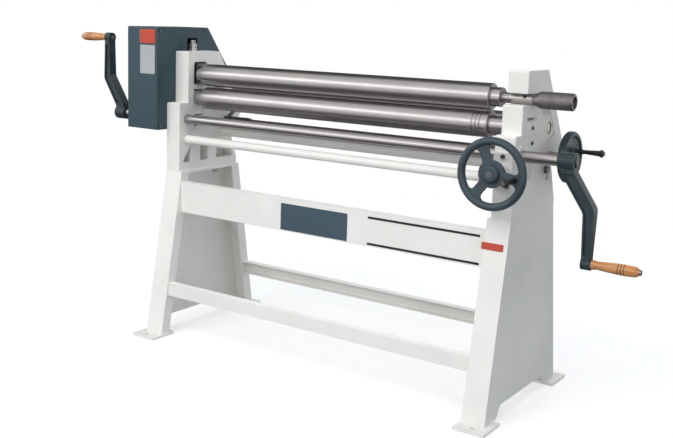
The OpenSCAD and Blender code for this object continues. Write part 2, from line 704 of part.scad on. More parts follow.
// Spur gear on a shaft along X, its tooth or gap turned to an angle
module gear_x_at(x0, w, z, teeth, module_mm, tip_r, thin, angle, bore_r) {
    difference() {
        translate([x0, roll_y, z]) rotate([90, 0, 90]) linear_extrude(w) rotate(angle)
            polygon(gear_points(teeth, module_mm, tip_r, thin));
        bar_x(x0 - cut, x0 + w + cut, [0, z], bore_r);
    }
}
module main_gear() {
    tip_r = main_teeth * gear_module / 2 + 0.8 * gear_module;
    hub_r = sleeve_shaft_r + 16;
    web_r = main_teeth * gear_module / 2 - 3.5 * gear_module;
    web_recess = 7;
    color("dimgray") difference() {
        gear_x_at(gear_x, gear_w, top_roll_z, main_teeth, gear_module, tip_r, 0.12, mesh_angle,
            sleeve_shaft_r);
        for (x = [gear_x - cut, gear_x + gear_w - web_recess]) difference() {
            bar_x(x, x + web_recess + cut, [0, top_roll_z], web_r);
            bar_x(x - cut, x + web_recess + 2 * cut, [0, top_roll_z], hub_r);
        }
    }
}
roll_tip_r = roll_teeth * roll_module / 2 + roll_module;
module top_roll_gear() {
    color("dimgray") gear_x_at(roll_gear_x0, roll_gear_w, top_roll_z, roll_teeth, roll_module,
        roll_tip_r, 0.4, -90,
        sleeve_shaft_r);
}
module bottom_roll_gear() {
    color("dimgray") gear_x_at(roll_gear_x0, roll_gear_w, bottom_roll_z, roll_teeth, roll_module,
        roll_tip_r, 0.4,
        90 + 180 / roll_teeth, journal_r);
}

// Pinch screws, their bevel gears and the shaft that joins them
// Bevel gear of equal pair: apex at the origin, large end at +Z, cone of 45 degrees
module bevel(bore_r) {
    teeth = 14;
    difference() {
        translate([0, 0, bevel_r - bevel_face + bevel_gap])
            cylinder(r1 = bevel_r - bevel_face - bevel_gap, r2 = bevel_r - bevel_gap, h = bevel_face);
        for (i = [0:teeth - 1]) rotate(i * 360 / teeth)
            translate([bevel_r - bevel_face, 0, bevel_r - bevel_face])
            rotate([0, 45, 0]) translate([-1.6, -1.1, -4]) cube([6, 2.2, 20]);
        cylinder(r = bore_r, h = bevel_r + 2);
    }
}
module pinch_screw(side, pocket_z, bevel_places) {
    shoulder = pinch_shaft_z + bevel_r + bevel_gap;
    translate([side * frame_mid, roll_y, 0]) {
        translate([0, 0, pocket_z - step_bearing_deep + slide_clear])
            cylinder(r = pinch_stem_r, h = shoulder - pocket_z + step_bearing_deep - slide_clear);
        translate([0, 0, shoulder]) cylinder(r = pinch_screw_r, h = pinch_screw_top - shoulder);
        for (z = bevel_places) translate([0, 0, z]) bevel(pinch_stem_r - 1);
    }
}
module pinch_screw_left() { color("gray") pinch_screw(-1, left_pocket_z, [pinch_shaft_z]); }
module pinch_screw_right() { color("gray") pinch_screw(1, right_pocket_z, [pinch_shaft_z, front_wheel_z]); }
module pinch_shaft() {
    gear_start = frame_mid - bevel_r + bevel_face - bevel_gap;
    color("gray") {
        bar_x(-gear_start, gear_start, [0, pinch_shaft_z], pinch_shaft_r);
        for (side = [-1, 1]) translate([side * frame_mid, roll_y, pinch_shaft_z])
            rotate([0, -side * 90, 0]) bevel(4);
    }
}
module pinch_bearing_plates() {
    half = pinch_pocket_half + 9;
    color("ivory") for (side = [-1, 1]) difference() {
        frame_slab(side, -bearing_plate_t, 0) translate([-half, pinch_shaft_z - bearing_plate_half_h])
            square([2 * half, 2 * bearing_plate_half_h]);
        frame_bore(side, -bearing_plate_t - cut, cut, [0, pinch_shaft_z], pinch_shaft_r + run_clear);
    }
}
// Bars along Y at the front wheel's axis, from front to back, counted from the roll axes
module bar_y(y0, y1, r) {
    translate([frame_mid, roll_y + y1, front_wheel_z]) rotate([90, 0, 0]) cylinder(r = r, h = y1 - y0);
}
module front_wheel_shaft() {
    color("gray") {
        bar_y(-front_wheel_reach - 20, -bevel_r - bevel_gap, front_shaft_r);
        translate([frame_mid, roll_y, front_wheel_z]) rotate([90, 0, 0]) bevel(4);
        bar_y(-bevel_r - bevel_gap - 1, -bevel_r + bevel_face - bevel_gap, 8);
    }
}
flange_half = [33, 60];
flange_screws_at = [[-20, -48], [0, 48], [20, -48]];
module front_flange() {
    color("ivory") translate([frame_mid, roll_y + base_front, front_wheel_z]) rotate([90, 0, 0])
        difference() {
        union() {
            linear_extrude(front_flange_t) polygon(outline([for (p = [[-1, -1], [1, -1], [1, 1], [-1, 1]])
                [p.x * flange_half.x, p.y * flange_half.y, 12]]));
            cylinder(r = 26, h = front_flange_t + 24);
        }
        translate([0, 0, -cut]) cylinder(r = front_shaft_r + run_clear, h = 60);
    }
}
module socket_head(r, h) {
    difference() {
        cylinder(r = r, h = h);
        translate([0, 0, h * 0.4]) cylinder(r = r / 2, h = h, $fn = 6);
    }
}
module flange_screws() {
    color("dimgray") {
        for (p = flange_screws_at)
            translate([frame_mid + p.x, roll_y + base_front - front_flange_t, front_wheel_z + p.y])
                rotate([90, 0, 0]) socket_head(7, 7);
        for (p = pad_screws) translate([frame_outer + pad_t, roll_y + p.x, p.y])
            rotate([0, 90, 0]) socket_head(6.5, 4);
    }
}
front_handle_place = [78, -10];
spoke_angles = [-8, 112, 232];
// Opening between two spokes, from a spoke at angle 0, with rounded corners
module spoke_opening(inner_r, outer_r, half_spoke) {
    outer_a = asin(half_spoke / outer_r);
    inner_a = asin(half_spoke / inner_r);
    polygon(outline(concat(
        [for (i = [0:8]) let (a = outer_a + (120 - 2 * outer_a) * i / 8)
            [outer_r * cos(a), outer_r * sin(a), i % 8 == 0 ? 14 : 0]],
        [for (i = [4:-1:0]) let (a = inner_a + (120 - 2 * inner_a) * i / 4)
            [inner_r * cos(a), inner_r * sin(a), i % 4 == 0 ? 9 : 0]])));
}
module front_hand_wheel() {
    rim_r = front_wheel_d / 2;
    hub_r = 27;
    hub_back = 26;
    web_t = 11;
    web_back = 7;
    half_spoke = 16;
    web_inner_r = 45;
    color("darkslategray") translate([frame_mid, roll_y - front_wheel_reach, front_wheel_z])
        rotate([90, 0, 0]) difference() {
        union() {
            rotate_extrude() translate([rim_r - 13, 0]) circle(r = 13, $fn = 32);
            rotate_extrude() polygon([[0, -hub_back], [hub_r, -hub_back], [hub_r + 6, -8], [hub_r, 14],
                [hub_r - 6, 18], [0, 18]]);
            translate([0, 0, -web_back]) linear_extrude(web_t) difference() {
                circle(r = rim_r - 13);
                for (a = spoke_angles) rotate(a) spoke_opening(web_inner_r, rim_r - 24, half_spoke);
            }
        }
        translate([0, 0, -hub_back - cut]) cylinder(r = front_shaft_r, h = hub_back + 20 + cut);
        translate([front_handle_place.x, front_handle_place.y, -20]) cylinder(r = 5, h = 40);
    }
}
// Tapered revolving handle along +Z, with the bore for its pin
module taper_handle(l, r0, r1) {
    rotate_extrude() polygon(concat([[5 + run_clear, 0], [r0 - 1, 0], [r0, 2], [r0 - 2, l * 0.2]],
        [for (i = [0:6]) [r1 * cos(i * 15 - 45) + 0.2 * r1, l - r1 * 0.9 + r1 * sin(i * 15 - 45) * 0.75]],
        [[5 + run_clear, l - r1 * 0.35]]));
}
module at_front_handle() {
    translate([frame_mid + front_handle_place.x, roll_y - front_wheel_reach - 5 - slide_clear,
        front_wheel_z + front_handle_place.y])
        rotate([90, 0, 0]) children();
}
front_handle_l = 80;
module front_wheel_handle() { color("black") at_front_handle() taper_handle(front_handle_l, 10, 12); }
module handle_pin(l) {
    translate([0, 0, -12]) cylinder(r = 5, h = l + 12);
    translate([0, 0, l]) cylinder(r = 7, h = 3);
}
module front_handle_pin() { color("silver") at_front_handle() handle_pin(front_handle_l - 3); }

// Rear roll, its blocks, lifting screws and cross shaft
module rear_roll() {
    color("silver") translate([0, rear_y, 0]) along_roll(rear_z)
        polygon([[0, -frame_outer + 4], [journal_r, -frame_outer + 4],
        [journal_r, -frame_half + 6], [neck_d / 2 - 6, -frame_half + 6], [neck_d / 2 - 6, barrel_left],
            [roll_r - 2, barrel_left],
        [roll_r, barrel_left + 2], [roll_r, barrel_right - 2], [roll_r - 2, barrel_right],
            [neck_d / 2 - 6, barrel_right],
        [neck_d / 2 - 6, frame_half - 6], [journal_r, frame_half - 6], [journal_r, frame_outer - 4],
            [0, frame_outer - 4]]);
}
module rear_block(side) {
    half = rear_half - slide_clear;
    difference() {
        frame_slab(side, block_inset, frame_t - block_inset) polygon([slope_at(-rear_block_up, -half),
            slope_at(rear_block_down, -half), slope_at(rear_block_down, half),
                slope_at(-rear_block_up, half)]);
        frame_bore(side, -cut, frame_t + cut, [rear_y, rear_z], journal_r + bush_wall);
        on_slope(side, rear_block_down - 12) cylinder(r = lift_screw_r, h = 20);
    }
}
module rear_block_left() { color("ivory") rear_block(-1); }
module rear_block_right() { color("ivory") rear_block(1); }
module rear_bushes() { color("darkgoldenrod") for (side = [-1, 1]) bush(side, [rear_y, rear_z]); }
module lift_screws() {
    screw_end = nut_mid + nut_h + rear_travel;
    color("gray") for (side = [-1, 1]) on_slope(side, rear_block_down - 12)
        cylinder(r = lift_screw_r, h = screw_end - rear_block_down + 12);
}
module lift_nut(side) {
    on_slope(side, nut_mid - nut_h / 2) difference() {
        linear_extrude(nut_h) polygon(gear_points(nut_teeth, nut_module, nut_tip_r, 0.3));
        translate([0, 0, -cut]) cylinder(r = lift_screw_r + run_clear, h = nut_h + 2 * cut);
    }
}
module lift_nut_left() { color("darkgoldenrod") lift_nut(-1); }
module lift_nut_right() { color("darkgoldenrod") lift_nut(1); }
module worm() {
    pitch = 8;
    turns = 5;
    rotate_extrude() polygon(concat([[0, -pitch * turns / 2]],
        [for (i = [0:turns - 1], k = [[-4, 3], [-1.5, 0], [0.5, 0], [3, 3]])
        [worm_r - k[1], (i - (turns - 1) / 2) * pitch + k[0]]], [[0, pitch * turns / 2]]));
}
side_hub_x = frame_outer + side_wheel_reach;
module cross_shaft() {
    color("dimgray") {
        bar_x(-frame_outer + 1, side_hub_x + 14, cross_yz, cross_r);
        for (side = [-1, 1]) translate([side * frame_mid, roll_y + cross_yz.x, cross_yz.y])
            rotate([0, 90, 0]) worm();
    }
}
sleeve_l = 130;
module cross_shaft_sleeve() {
    color("black") difference() {
        bar_x(-frame_half + 2, -frame_half + 2 + sleeve_l, cross_yz, cross_r + 5);
        bar_x(-frame_half, -frame_half + sleeve_l + 20, cross_yz, cross_r);
    }
}
side_handle_place = [62, 14];
side_hub_back = 30;
side_hub_front = 12;
module side_hand_wheel() {
    rim_r = side_wheel_d / 2;
    color("darkslategray") difference() {
        translate([side_hub_x, roll_y + cross_yz.x, cross_yz.y]) rotate([0, 90, 0]) rotate_extrude()
            polygon([[0, -side_hub_back], [24, -side_hub_back], [26, -8], [rim_r - 22, -2],
                [rim_r - 14, -12], [rim_r - 5, -13], [rim_r, -8],
                [rim_r, 8], [rim_r - 5, 13], [rim_r - 14, 12], [rim_r - 22, 8], [26, 4],
                [22, side_hub_front], [0, side_hub_front]]);
        bar_x(side_hub_x - side_hub_back - cut, side_hub_x + side_hub_front + cut, cross_yz, cross_r);
        bar_x(side_hub_x - side_hub_back, side_hub_x + 2 * side_hub_front, cross_yz + side_handle_place, 5);
    }
}
side_handle_l = 84;
module at_side_handle() {
    translate([side_hub_x + 13 + slide_clear, roll_y + cross_yz.x + side_handle_place.x,
        cross_yz.y + side_handle_place.y])
        rotate([0, 90, 0]) children();
}
module side_wheel_handle() { color("black") at_side_handle() taper_handle(side_handle_l, 9, 11); }
module side_handle_pin() { color("silver") at_side_handle() handle_pin(side_handle_l - 3); }

// Crank shaft, pinion, cranks and grips
module crank_shaft() {
    color("silver") bar_x(left_hub_x, right_hub_x + crank_hub_l, [-crank_forward, crank_z], shaft_r);
}
module crank_bushes() {
    color("darkgoldenrod") for (side = [-1, 1]) difference() {
        union() {
            frame_bore(side, 0, frame_t, [-crank_forward, crank_z], crank_bush_r);
            frame_bore(side, frame_t, frame_t + 5, [-crank_forward, crank_z], crank_bush_r + 6);
        }
        frame_bore(side, -cut, frame_t + 6, [-crank_forward, crank_z], shaft_r + run_clear);
    }
}
module crank_pinion() {
    tip_r = pinion_teeth * gear_module / 2 + gear_module;
    color("dimgray") difference() {
        translate([gear_x - 2, roll_y - crank_forward, crank_z]) rotate([90, 0, 90])
            linear_extrude(gear_w + 4)
            rotate(mesh_angle + 180 + 180 / pinion_teeth)
                polygon(gear_points(pinion_teeth, gear_module, tip_r, 0.5));
        bar_x(gear_x - 10, gear_x + gear_w + 10, [-crank_forward, crank_z], shaft_r);
    }
}
// Crank arm, drawn as [x, z] from the shaft end, hanging down, with ribbed faces
arm_deep = 36;
arm_w = 30;
arm_top_w = 40;
arm_end_w = 25;
arm_knee = 140;
module arm_outline(inset) {
    top = 8;
    at_top = arm_top_w / 2 - inset;
    at_knee = arm_top_w / 2 - 2 - inset;
    at_end = arm_end_w / 2 - inset;
    polygon(outline([[-at_top, top - inset, 8], [at_top, top - inset, 8], [at_top + 4, -30, 20],
        [crank_set + at_knee, -arm_knee, 30], [crank_set + at_end, -crank_throw + inset * 3, 0],
        [crank_set - at_end, -crank_throw + inset * 3, 0], [crank_set - at_knee, -arm_knee - 14, 30],
        [-at_top, -36, 20]]));
}
module crank_arm() {
    hub_mid = crank_hub_l - arm_top_w / 2 - 3;
    rib_deep = 6;
    difference() {
        union() {
            rotate([0, 90, 0]) cylinder(r = crank_hub_r, h = crank_hub_l);
            translate([hub_mid, arm_deep / 2, 0]) rotate([90, 0, 0])
                linear_extrude(arm_deep) arm_outline(0);
            translate([hub_mid + crank_set - arm_w / 2, 0, -crank_throw]) rotate([0, 90, 0])
                cylinder(r = crank_eye_r + 3, h = arm_w);
        }
        for (s = [-1, 1]) translate([hub_mid, s > 0 ? arm_deep / 2 + cut : -arm_deep / 2 + rib_deep, 0])
            rotate([90, 0, 0])
            linear_extrude(rib_deep + cut) difference() {
                arm_outline(6);
                translate([-60, -38]) square([200, 200]);
                translate([crank_set - 60, -crank_throw - 40]) square([120, 70]);
            }
        translate([-cut, 0, 0]) rotate([0, 90, 0]) cylinder(r = shaft_r, h = crank_hub_l + 2 * cut);
        translate([hub_mid + crank_set - arm_w, 0, -crank_throw]) rotate([0, 90, 0])
            cylinder(r = spindle_r, h = 2 * arm_w);
    }
}
grip_x = crank_hub_l - 3 - arm_top_w / 2 + arm_w / 2 + crank_set + slide_clear;
burnt_rings = [0.6, 0.68, 0.76];
module wooden_grip() {
    r = grip_d / 2;
    body_l = grip_l - 34;
    translate([grip_x, 0, -crank_throw]) rotate([0, 90, 0]) rotate_extrude() difference() {
        polygon(concat([[spindle_r + run_clear, 0], [r * 0.78, 0], [r * 0.84, 3], [r * 0.84, 14],
            [r * 0.72, 18]],
            [for (i = [1:10]) let (t = i / 10) [r * (0.72 + 0.28 * sin(t * 125)), 18 + t * body_l]],
            [[r * 0.86, grip_l - 8], [r * 0.66, grip_l - 2], [r * 0.55, grip_l],
                [spindle_r + run_clear, grip_l]]));
        for (t = burnt_rings) translate([r * (0.72 + 0.28 * sin(t * 125)) + 0.4, 18 + t * body_l])
            circle(r = 1.4, $fn = 12);
    }
}
module spindle() {
    translate([grip_x - arm_w - slide_clear, 0, -crank_throw]) rotate([0, 90, 0]) {
        cylinder(r = spindle_r, h = arm_w + grip_l + 2 * slide_clear);
        translate([0, 0, arm_w + grip_l + 2 * slide_clear]) cylinder(r = spindle_r + 3, h = 6);
    }
}
module at_right_crank() { translate([right_hub_x, roll_y - crank_forward, crank_z]) children(); }
module at_left_crank() {
    translate([left_hub_x + crank_hub_l, roll_y - crank_forward, crank_z]) rotate([0, 180, 0]) children();
}
module right_crank() { color("darkslategray") at_right_crank() crank_arm(); }
module left_crank() { color("darkslategray") at_left_crank() crank_arm(); }
module crank_spindles() {
    color("silver") {
        at_right_crank() spindle();
        at_left_crank() spindle();
    }
}
module right_grip() { color("peru") at_right_crank() wooden_grip(); }
module left_grip() { color("peru") at_left_crank() wooden_grip(); }

left_leg();
right_leg();
foot_plates();
front_beam();
front_rail();
rear_rail();
left_frame();
right_frame();
frame_bolts();
front_tie_bar();
rear_tie_bar();
tie_screws();
gear_cover();
cover_plate();
cover_screws();
kingpin();
lower_pivot();
swivel_bearing();
top_bush();
top_roll();
top_roll_handle();
bottom_roll();
bottom_block_left();
bottom_block_right();
bottom_bushes();
coupling_pin();
drive_sleeve();
main_gear();
top_roll_gear();
bottom_roll_gear();
pinch_screw_left();
pinch_screw_right();
pinch_shaft();
pinch_bearing_plates();
front_wheel_shaft();
front_flange();
flange_screws();
front_hand_wheel();
front_wheel_handle();
front_handle_pin();
rear_roll();
rear_block_left();
rear_block_right();
rear_bushes();
lift_screws();
lift_nut_left();
lift_nut_right();
cross_shaft();
cross_shaft_sleeve();
side_hand_wheel();
side_wheel_handle();
side_handle_pin();
crank_shaft();
crank_bushes();
crank_pinion();
right_crank();
left_crank();
crank_spindles();
right_grip();
left_grip();
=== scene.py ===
"""Looks of a hand-cranked plate rolling machine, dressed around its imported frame.

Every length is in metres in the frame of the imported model: +X along the rolls, +Y to the back, +Z up.
"""

from __future__ import annotations

import json
import logging
import math
from dataclasses import dataclass
from enum import Enum

import bmesh
import bpy
from mathutils import Matrix, Vector

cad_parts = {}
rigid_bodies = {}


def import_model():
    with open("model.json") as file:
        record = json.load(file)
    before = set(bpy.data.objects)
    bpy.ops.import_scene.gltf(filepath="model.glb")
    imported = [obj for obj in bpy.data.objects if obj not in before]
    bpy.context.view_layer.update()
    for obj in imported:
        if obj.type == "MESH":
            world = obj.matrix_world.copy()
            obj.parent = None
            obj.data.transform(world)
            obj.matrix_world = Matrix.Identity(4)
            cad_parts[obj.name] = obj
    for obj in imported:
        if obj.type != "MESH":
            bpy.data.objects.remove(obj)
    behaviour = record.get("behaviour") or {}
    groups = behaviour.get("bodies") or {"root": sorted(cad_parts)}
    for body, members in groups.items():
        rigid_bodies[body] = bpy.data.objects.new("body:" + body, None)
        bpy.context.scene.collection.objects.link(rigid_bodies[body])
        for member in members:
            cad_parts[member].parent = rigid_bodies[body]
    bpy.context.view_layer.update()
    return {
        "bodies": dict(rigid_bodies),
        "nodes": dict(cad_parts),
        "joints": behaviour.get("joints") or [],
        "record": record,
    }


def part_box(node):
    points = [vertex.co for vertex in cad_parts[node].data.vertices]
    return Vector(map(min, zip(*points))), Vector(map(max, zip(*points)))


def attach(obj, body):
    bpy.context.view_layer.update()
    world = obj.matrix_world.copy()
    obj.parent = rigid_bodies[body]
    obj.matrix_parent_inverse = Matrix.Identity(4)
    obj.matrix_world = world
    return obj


LOG = logging.getLogger("plate_rolls")
MERGE_DISTANCE = 1e-7
EDGE_SHARE = 0.45
EDGE_STEPS = 2
Colour = tuple[float, float, float]
Point = tuple[float, float, float]
Pair = tuple[float, float]
Socket = bpy.types.NodeSocket
WHITE: Colour = (1.0, 1.0, 1.0)


class Shader:
    """A material under construction, with short calls to add and join its nodes."""

    def __init__(self, name: str, soft_edge: float = 0.0) -> None:
        """Start an empty material that already holds its surface shader.

        Args:
            name: The material's name.
            soft_edge: Radius in metres by which sharp edges look rounded.
        """
        self.soft_edge = soft_edge
        self.material = bpy.data.materials.new(name)
        self.material.use_nodes = True
        self.nodes = self.material.node_tree.nodes
        self.links = self.material.node_tree.links
        self.surface = self.nodes["Principled BSDF"]
        self.coords = self.nodes.new("ShaderNodeTexCoord").outputs["Object"]

    def set(self, **values: float | Colour) -> None:
        """Set sockets of the surface shader.

        Args:
            values: Settings by socket name, in which underscores stand for spaces.
        """
        for key, value in values.items():
            socket = self.surface.inputs[key.replace("_", " ")]
            socket.default_value = (*value, 1.0) if isinstance(value, tuple) else value

    def noise(self, scale: float, detail: float = 3.0, stretch: Point = (1.0, 1.0, 1.0)) -> Socket:
        """Cloudy noise in the object's own metres.

        Args:
            scale: Number of clouds in a metre.
            detail: Number of finer layers.
            stretch: Scale along each axis, for drawn-out patterns.

        Returns:
            The socket with the noise value, about 0 to 1.
        """
        mapping = self.nodes.new("ShaderNodeMapping")
        mapping.inputs["Scale"].default_value = stretch
        self.links.new(self.coords, mapping.inputs["Vector"])
        noise = self.nodes.new("ShaderNodeTexNoise")
        noise.inputs["Scale"].default_value = scale
        noise.inputs["Detail"].default_value = detail
        self.links.new(mapping.outputs["Vector"], noise.inputs["Vector"])
        return noise.outputs["Fac"]

    def ramp(self, value: Socket, ends: Pair, first: Colour, last: Colour) -> Socket:
        """Turn a value into a colour between two ends.

        Args:
            value: The socket to read.
            ends: The values that give the first and the last colour.
            first: Colour at the low end.
            last: Colour at the high end.

        Returns:
            The socket with the colour.
        """
        ramp = self.nodes.new("ShaderNodeValToRGB")
        for element, position, colour in zip(ramp.color_ramp.elements, ends, (first, last)):
            element.position = position
            element.color = (*colour, 1.0)
        self.links.new(value, ramp.inputs["Fac"])
        return ramp.outputs["Color"]

    def spread(self, value: Socket, low: float, high: float) -> Socket:
        """Map a value of 0 to 1 onto a range.

        Args:
            value: The socket to read.
            low: The result for 0.
            high: The result for 1.

        Returns:
            The socket with the result.
        """
        span = self.nodes.new("ShaderNodeMapRange")
        span.inputs["To Min"].default_value = low
        span.inputs["To Max"].default_value = high
        self.links.new(value, span.inputs["Value"])
        return span.outputs["Result"]

    def join(self, socket: Socket, target: str) -> None:
        """Lead a socket into the surface shader's named input."""
        self.links.new(socket, self.surface.inputs[target])

    def bump(self, height: Socket, distance: float, strength: float = 0.4) -> None:
        """Raise the surface by a height pattern.

        Args:
            height: Socket with the height, 0 to 1.
            distance: Depth of the pattern in metres.
            strength: Share of the effect.
        """
        bump = self.nodes.new("ShaderNodeBump")
        bump.inputs["Distance"].default_value = distance
        bump.inputs["Strength"].default_value = strength
        self.links.new(height, bump.inputs["Height"])
        if self.soft_edge > 0.0:
            edge = self.nodes.new("ShaderNodeBevel")
            edge.samples = 4
            edge.inputs["Radius"].default_value = self.soft_edge
            self.links.new(edge.outputs["Normal"], bump.inputs["Normal"])
        self.links.new(bump.outputs["Normal"], self.surface.inputs["Normal"])


def tint(colour: Colour, factor: float) -> Colour:
    """A lighter or darker version of a colour."""
    return tuple(min(1.0, max(0.0, channel * factor)) for channel in colour)


@dataclass(frozen=True)
class Paint:
    """Sprayed enamel on sheet or casting."""

    name: str
    colour: Colour
    roughness: float = 0.4
    grain: float = 900.0
    depth: float = 0.0002
    cloud: float = 6.0
    patchiness: float = 0.03
    soft_edge: float = 0.0012
    gloss: float = 0.5
    cloud_ends: Pair = (0.35, 0.65)
    sheen: float = 40.0
    sheen_swing: float = 0.07

    def material(self) -> bpy.types.Material:
        """Build the paint.

        Returns:
            The finished material.
        """
        shader = Shader(self.name, self.soft_edge)
        shader.set(Specular_IOR_Level=self.gloss)
        clouds = shader.noise(self.cloud, detail=5.0)
        dark = tint(self.colour, 1.0 - self.patchiness)
        light = tint(self.colour, 1.0 + self.patchiness)
        shader.join(shader.ramp(clouds, self.cloud_ends, dark, light), "Base Color")
        low, high = self.roughness - self.sheen_swing, self.roughness + self.sheen_swing
        shader.join(shader.spread(shader.noise(self.sheen), low, high), "Roughness")
        shader.bump(shader.noise(self.grain, detail=2.0), self.depth)
        return shader.material


@dataclass(frozen=True)
class PlatePaint(Paint):
    """Smooth even colour of a thin plate."""

    grain: float = 600.0
    depth: float = 0.00005


@dataclass(frozen=True)
class TurnedSteel:
    """Bare steel with fine rings from the lathe, running round the X axis."""

    name: str
    colour: Colour
    roughness: float = 0.28
    rings: float = 900.0
    stretch: Point = (1.0, 0.01, 0.01)
    depth: float = 0.00006
    stains: float = 9.0
    stain_ends: Pair = (0.35, 0.7)
    stain_tint: float = 0.92
    sheen_swing: Pair = (-0.06, 0.10)

    def material(self) -> bpy.types.Material:
        """Build the steel.

        Returns:
            The finished material.
        """
        shader = Shader(self.name)
        shader.set(Metallic=1.0)
        rings = shader.noise(self.rings, detail=2.0, stretch=self.stretch)
        stains = shader.noise(self.stains, detail=4.0)
        dark = tint(self.colour, self.stain_tint)
        shader.join(shader.ramp(stains, self.stain_ends, dark, self.colour), "Base Color")
        low, high = (self.roughness + swing for swing in self.sheen_swing)
        shader.join(shader.spread(rings, low, high), "Roughness")
        shader.bump(rings, self.depth, strength=0.25)
        return shader.material


@dataclass(frozen=True)
class OiledMetal:
    """Plain machined metal, blackened, plated or bronze, with a thin film of oil."""

    name: str
    colour: Colour
    roughness: float = 0.38
    film: float = 60.0
    film_ends: Pair = (0.3, 0.7)
    film_tints: Pair = (0.8, 1.15)
    sheen_swing: float = 0.1
    grain: float = 1500.0
    depth: float = 0.0001

    def material(self) -> bpy.types.Material:
        """Build the metal.

        Returns:
            The finished material.
        """
        shader = Shader(self.name)
        shader.set(Metallic=1.0)
        film = shader.noise(self.film, detail=4.0)
        dark, light = (tint(self.colour, factor) for factor in self.film_tints)
        shader.join(shader.ramp(film, self.film_ends, dark, light), "Base Color")
        low, high = self.roughness - self.sheen_swing, self.roughness + self.sheen_swing
        shader.join(shader.spread(film, low, high), "Roughness")
        shader.bump(shader.noise(self.grain, detail=2.0), self.depth, strength=0.2)
        return shader.material


@dataclass(frozen=True)
class VarnishedWood:
    """Turned hardwood grip with its grain along X and a glossy varnish."""

    name: str
    early: Colour
    late: Colour
    grain: float = 160.0
    stretch: Point = (0.07, 1.0, 1.0)
    grain_ends: Pair = (0.32, 0.68)
    roughness: Pair = (0.3, 0.42)
    depth: float = 0.0002

    def material(self) -> bpy.types.Material:
        """Build the wood.

        Returns:
            The finished material.
        """
        shader = Shader(self.name)
        shader.set(Coat_Weight=0.5, Coat_Roughness=0.12)
        grain = shader.noise(self.grain, detail=5.0, stretch=self.stretch)
        shader.join(shader.ramp(grain, self.grain_ends, self.late, self.early), "Base Color")
        shader.join(shader.spread(grain, *self.roughness), "Roughness")
        shader.bump(grain, self.depth, strength=0.2)
        return shader.material


@dataclass(frozen=True)
class MouldedPlastic:
    """Glossy black moulding."""

    name: str
    colour: Colour
    wear: float = 70.0
    wear_ends: Pair = (0.35, 0.75)
    wear_tint: float = 1.8
    roughness: Pair = (0.22, 0.38)
    grain: float = 1200.0
    depth: float = 0.00008

    def material(self) -> bpy.types.Material:
        """Build the plastic.

        Returns:
            The finished material.
        """
        shader = Shader(self.name)
        wear = shader.noise(self.wear, detail=4.0)
        worn = tint(self.colour, self.wear_tint)
        shader.join(shader.ramp(wear, self.wear_ends, self.colour, worn), "Base Color")
        shader.join(shader.spread(wear, *self.roughness), "Roughness")
        shader.bump(shader.noise(self.grain, detail=2.0), self.depth, strength=0.2)
        return shader.material


class Finish(Enum):
    """The finishes of the machine, named as in the record where it has them."""

    CREAM = Paint("cream_paint", (0.84, 0.822, 0.79), roughness=0.38)
    COVER = Paint("cover_paint", (0.028, 0.060, 0.080), roughness=0.42, grain=700.0, depth=0.0003,
                  gloss=0.4)
    CAST_GREY = Paint("cast_grey", (0.028, 0.044, 0.052), roughness=0.36, grain=500.0, depth=0.0004,
                      cloud=20.0, patchiness=0.15, gloss=0.3)
    WHEEL_GREY = Paint("wheel_grey", (0.046, 0.065, 0.079), roughness=0.38, grain=500.0, depth=0.0003,
                       cloud=20.0, patchiness=0.12, gloss=0.35)
    STEEL = TurnedSteel("bright_steel", (0.43, 0.408, 0.403), roughness=0.31)
    DARK_STEEL = OiledMetal("dark_steel", (0.16, 0.16, 0.17))
    KNURLED = OiledMetal("knurled_steel", (0.24, 0.22, 0.22), roughness=0.42)
    ZINC = OiledMetal("zinc_plating", (0.50, 0.50, 0.49), roughness=0.36)
    BRONZE = OiledMetal("bronze", (0.36, 0.27, 0.16), roughness=0.5)
    WOOD = VarnishedWood("wood", early=(0.71, 0.325, 0.12), late=(0.40, 0.16, 0.05))
    BURNT = VarnishedWood("burnt_wood", early=(0.10, 0.035, 0.012), late=(0.05, 0.018, 0.008))
    BLACK = MouldedPlastic("black_plastic", (0.012, 0.012, 0.013))
    RED = PlatePaint("plate_red", (0.50, 0.055, 0.03), roughness=0.35)
    SILVER = PlatePaint("plate_silver", (0.42, 0.44, 0.46), roughness=0.3)
    PANEL = PlatePaint("panel_grey", (0.052, 0.086, 0.118), gloss=0.4)
    STRIPE = PlatePaint("stripe_black", (0.012, 0.012, 0.013))


class Palette:
    """Makes each finish's material once and hands it out."""

    def __init__(self) -> None:
        """Start with no material made."""
        self.made: dict[Finish, bpy.types.Material] = {}

    def get(self, finish: Finish) -> bpy.types.Material:
        """The material of a finish, made on first use.

        Args:
            finish: The finish that is asked for.

        Returns:
            Its one material.
        """
        if finish not in self.made:
            self.made[finish] = finish.value.material()
        return self.made[finish]

    def by_slot(self, slot: str) -> bpy.types.Material:
        """The material whose finish carries a record slot's name."""
        return self.get(next(finish for finish in Finish if finish.value.name == slot))


def mesh_object(name: str, mesh: bpy.types.Mesh | bmesh.types.BMesh) -> bpy.types.Object:
    """Put a mesh into the scene.

    Args:
        name: Name of the new piece.
        mesh: A finished mesh, or a bmesh that is used up.

    Returns:
        The object at the origin.
    """
    if isinstance(mesh, bmesh.types.BMesh):
        bmesh.ops.recalc_face_normals(mesh, faces=mesh.faces)
        data = bpy.data.meshes.new(name)
        mesh.to_mesh(data)
        mesh.free()
        mesh = data
    piece = bpy.data.objects.new(name, mesh)
    bpy.context.scene.collection.objects.link(piece)
    return piece


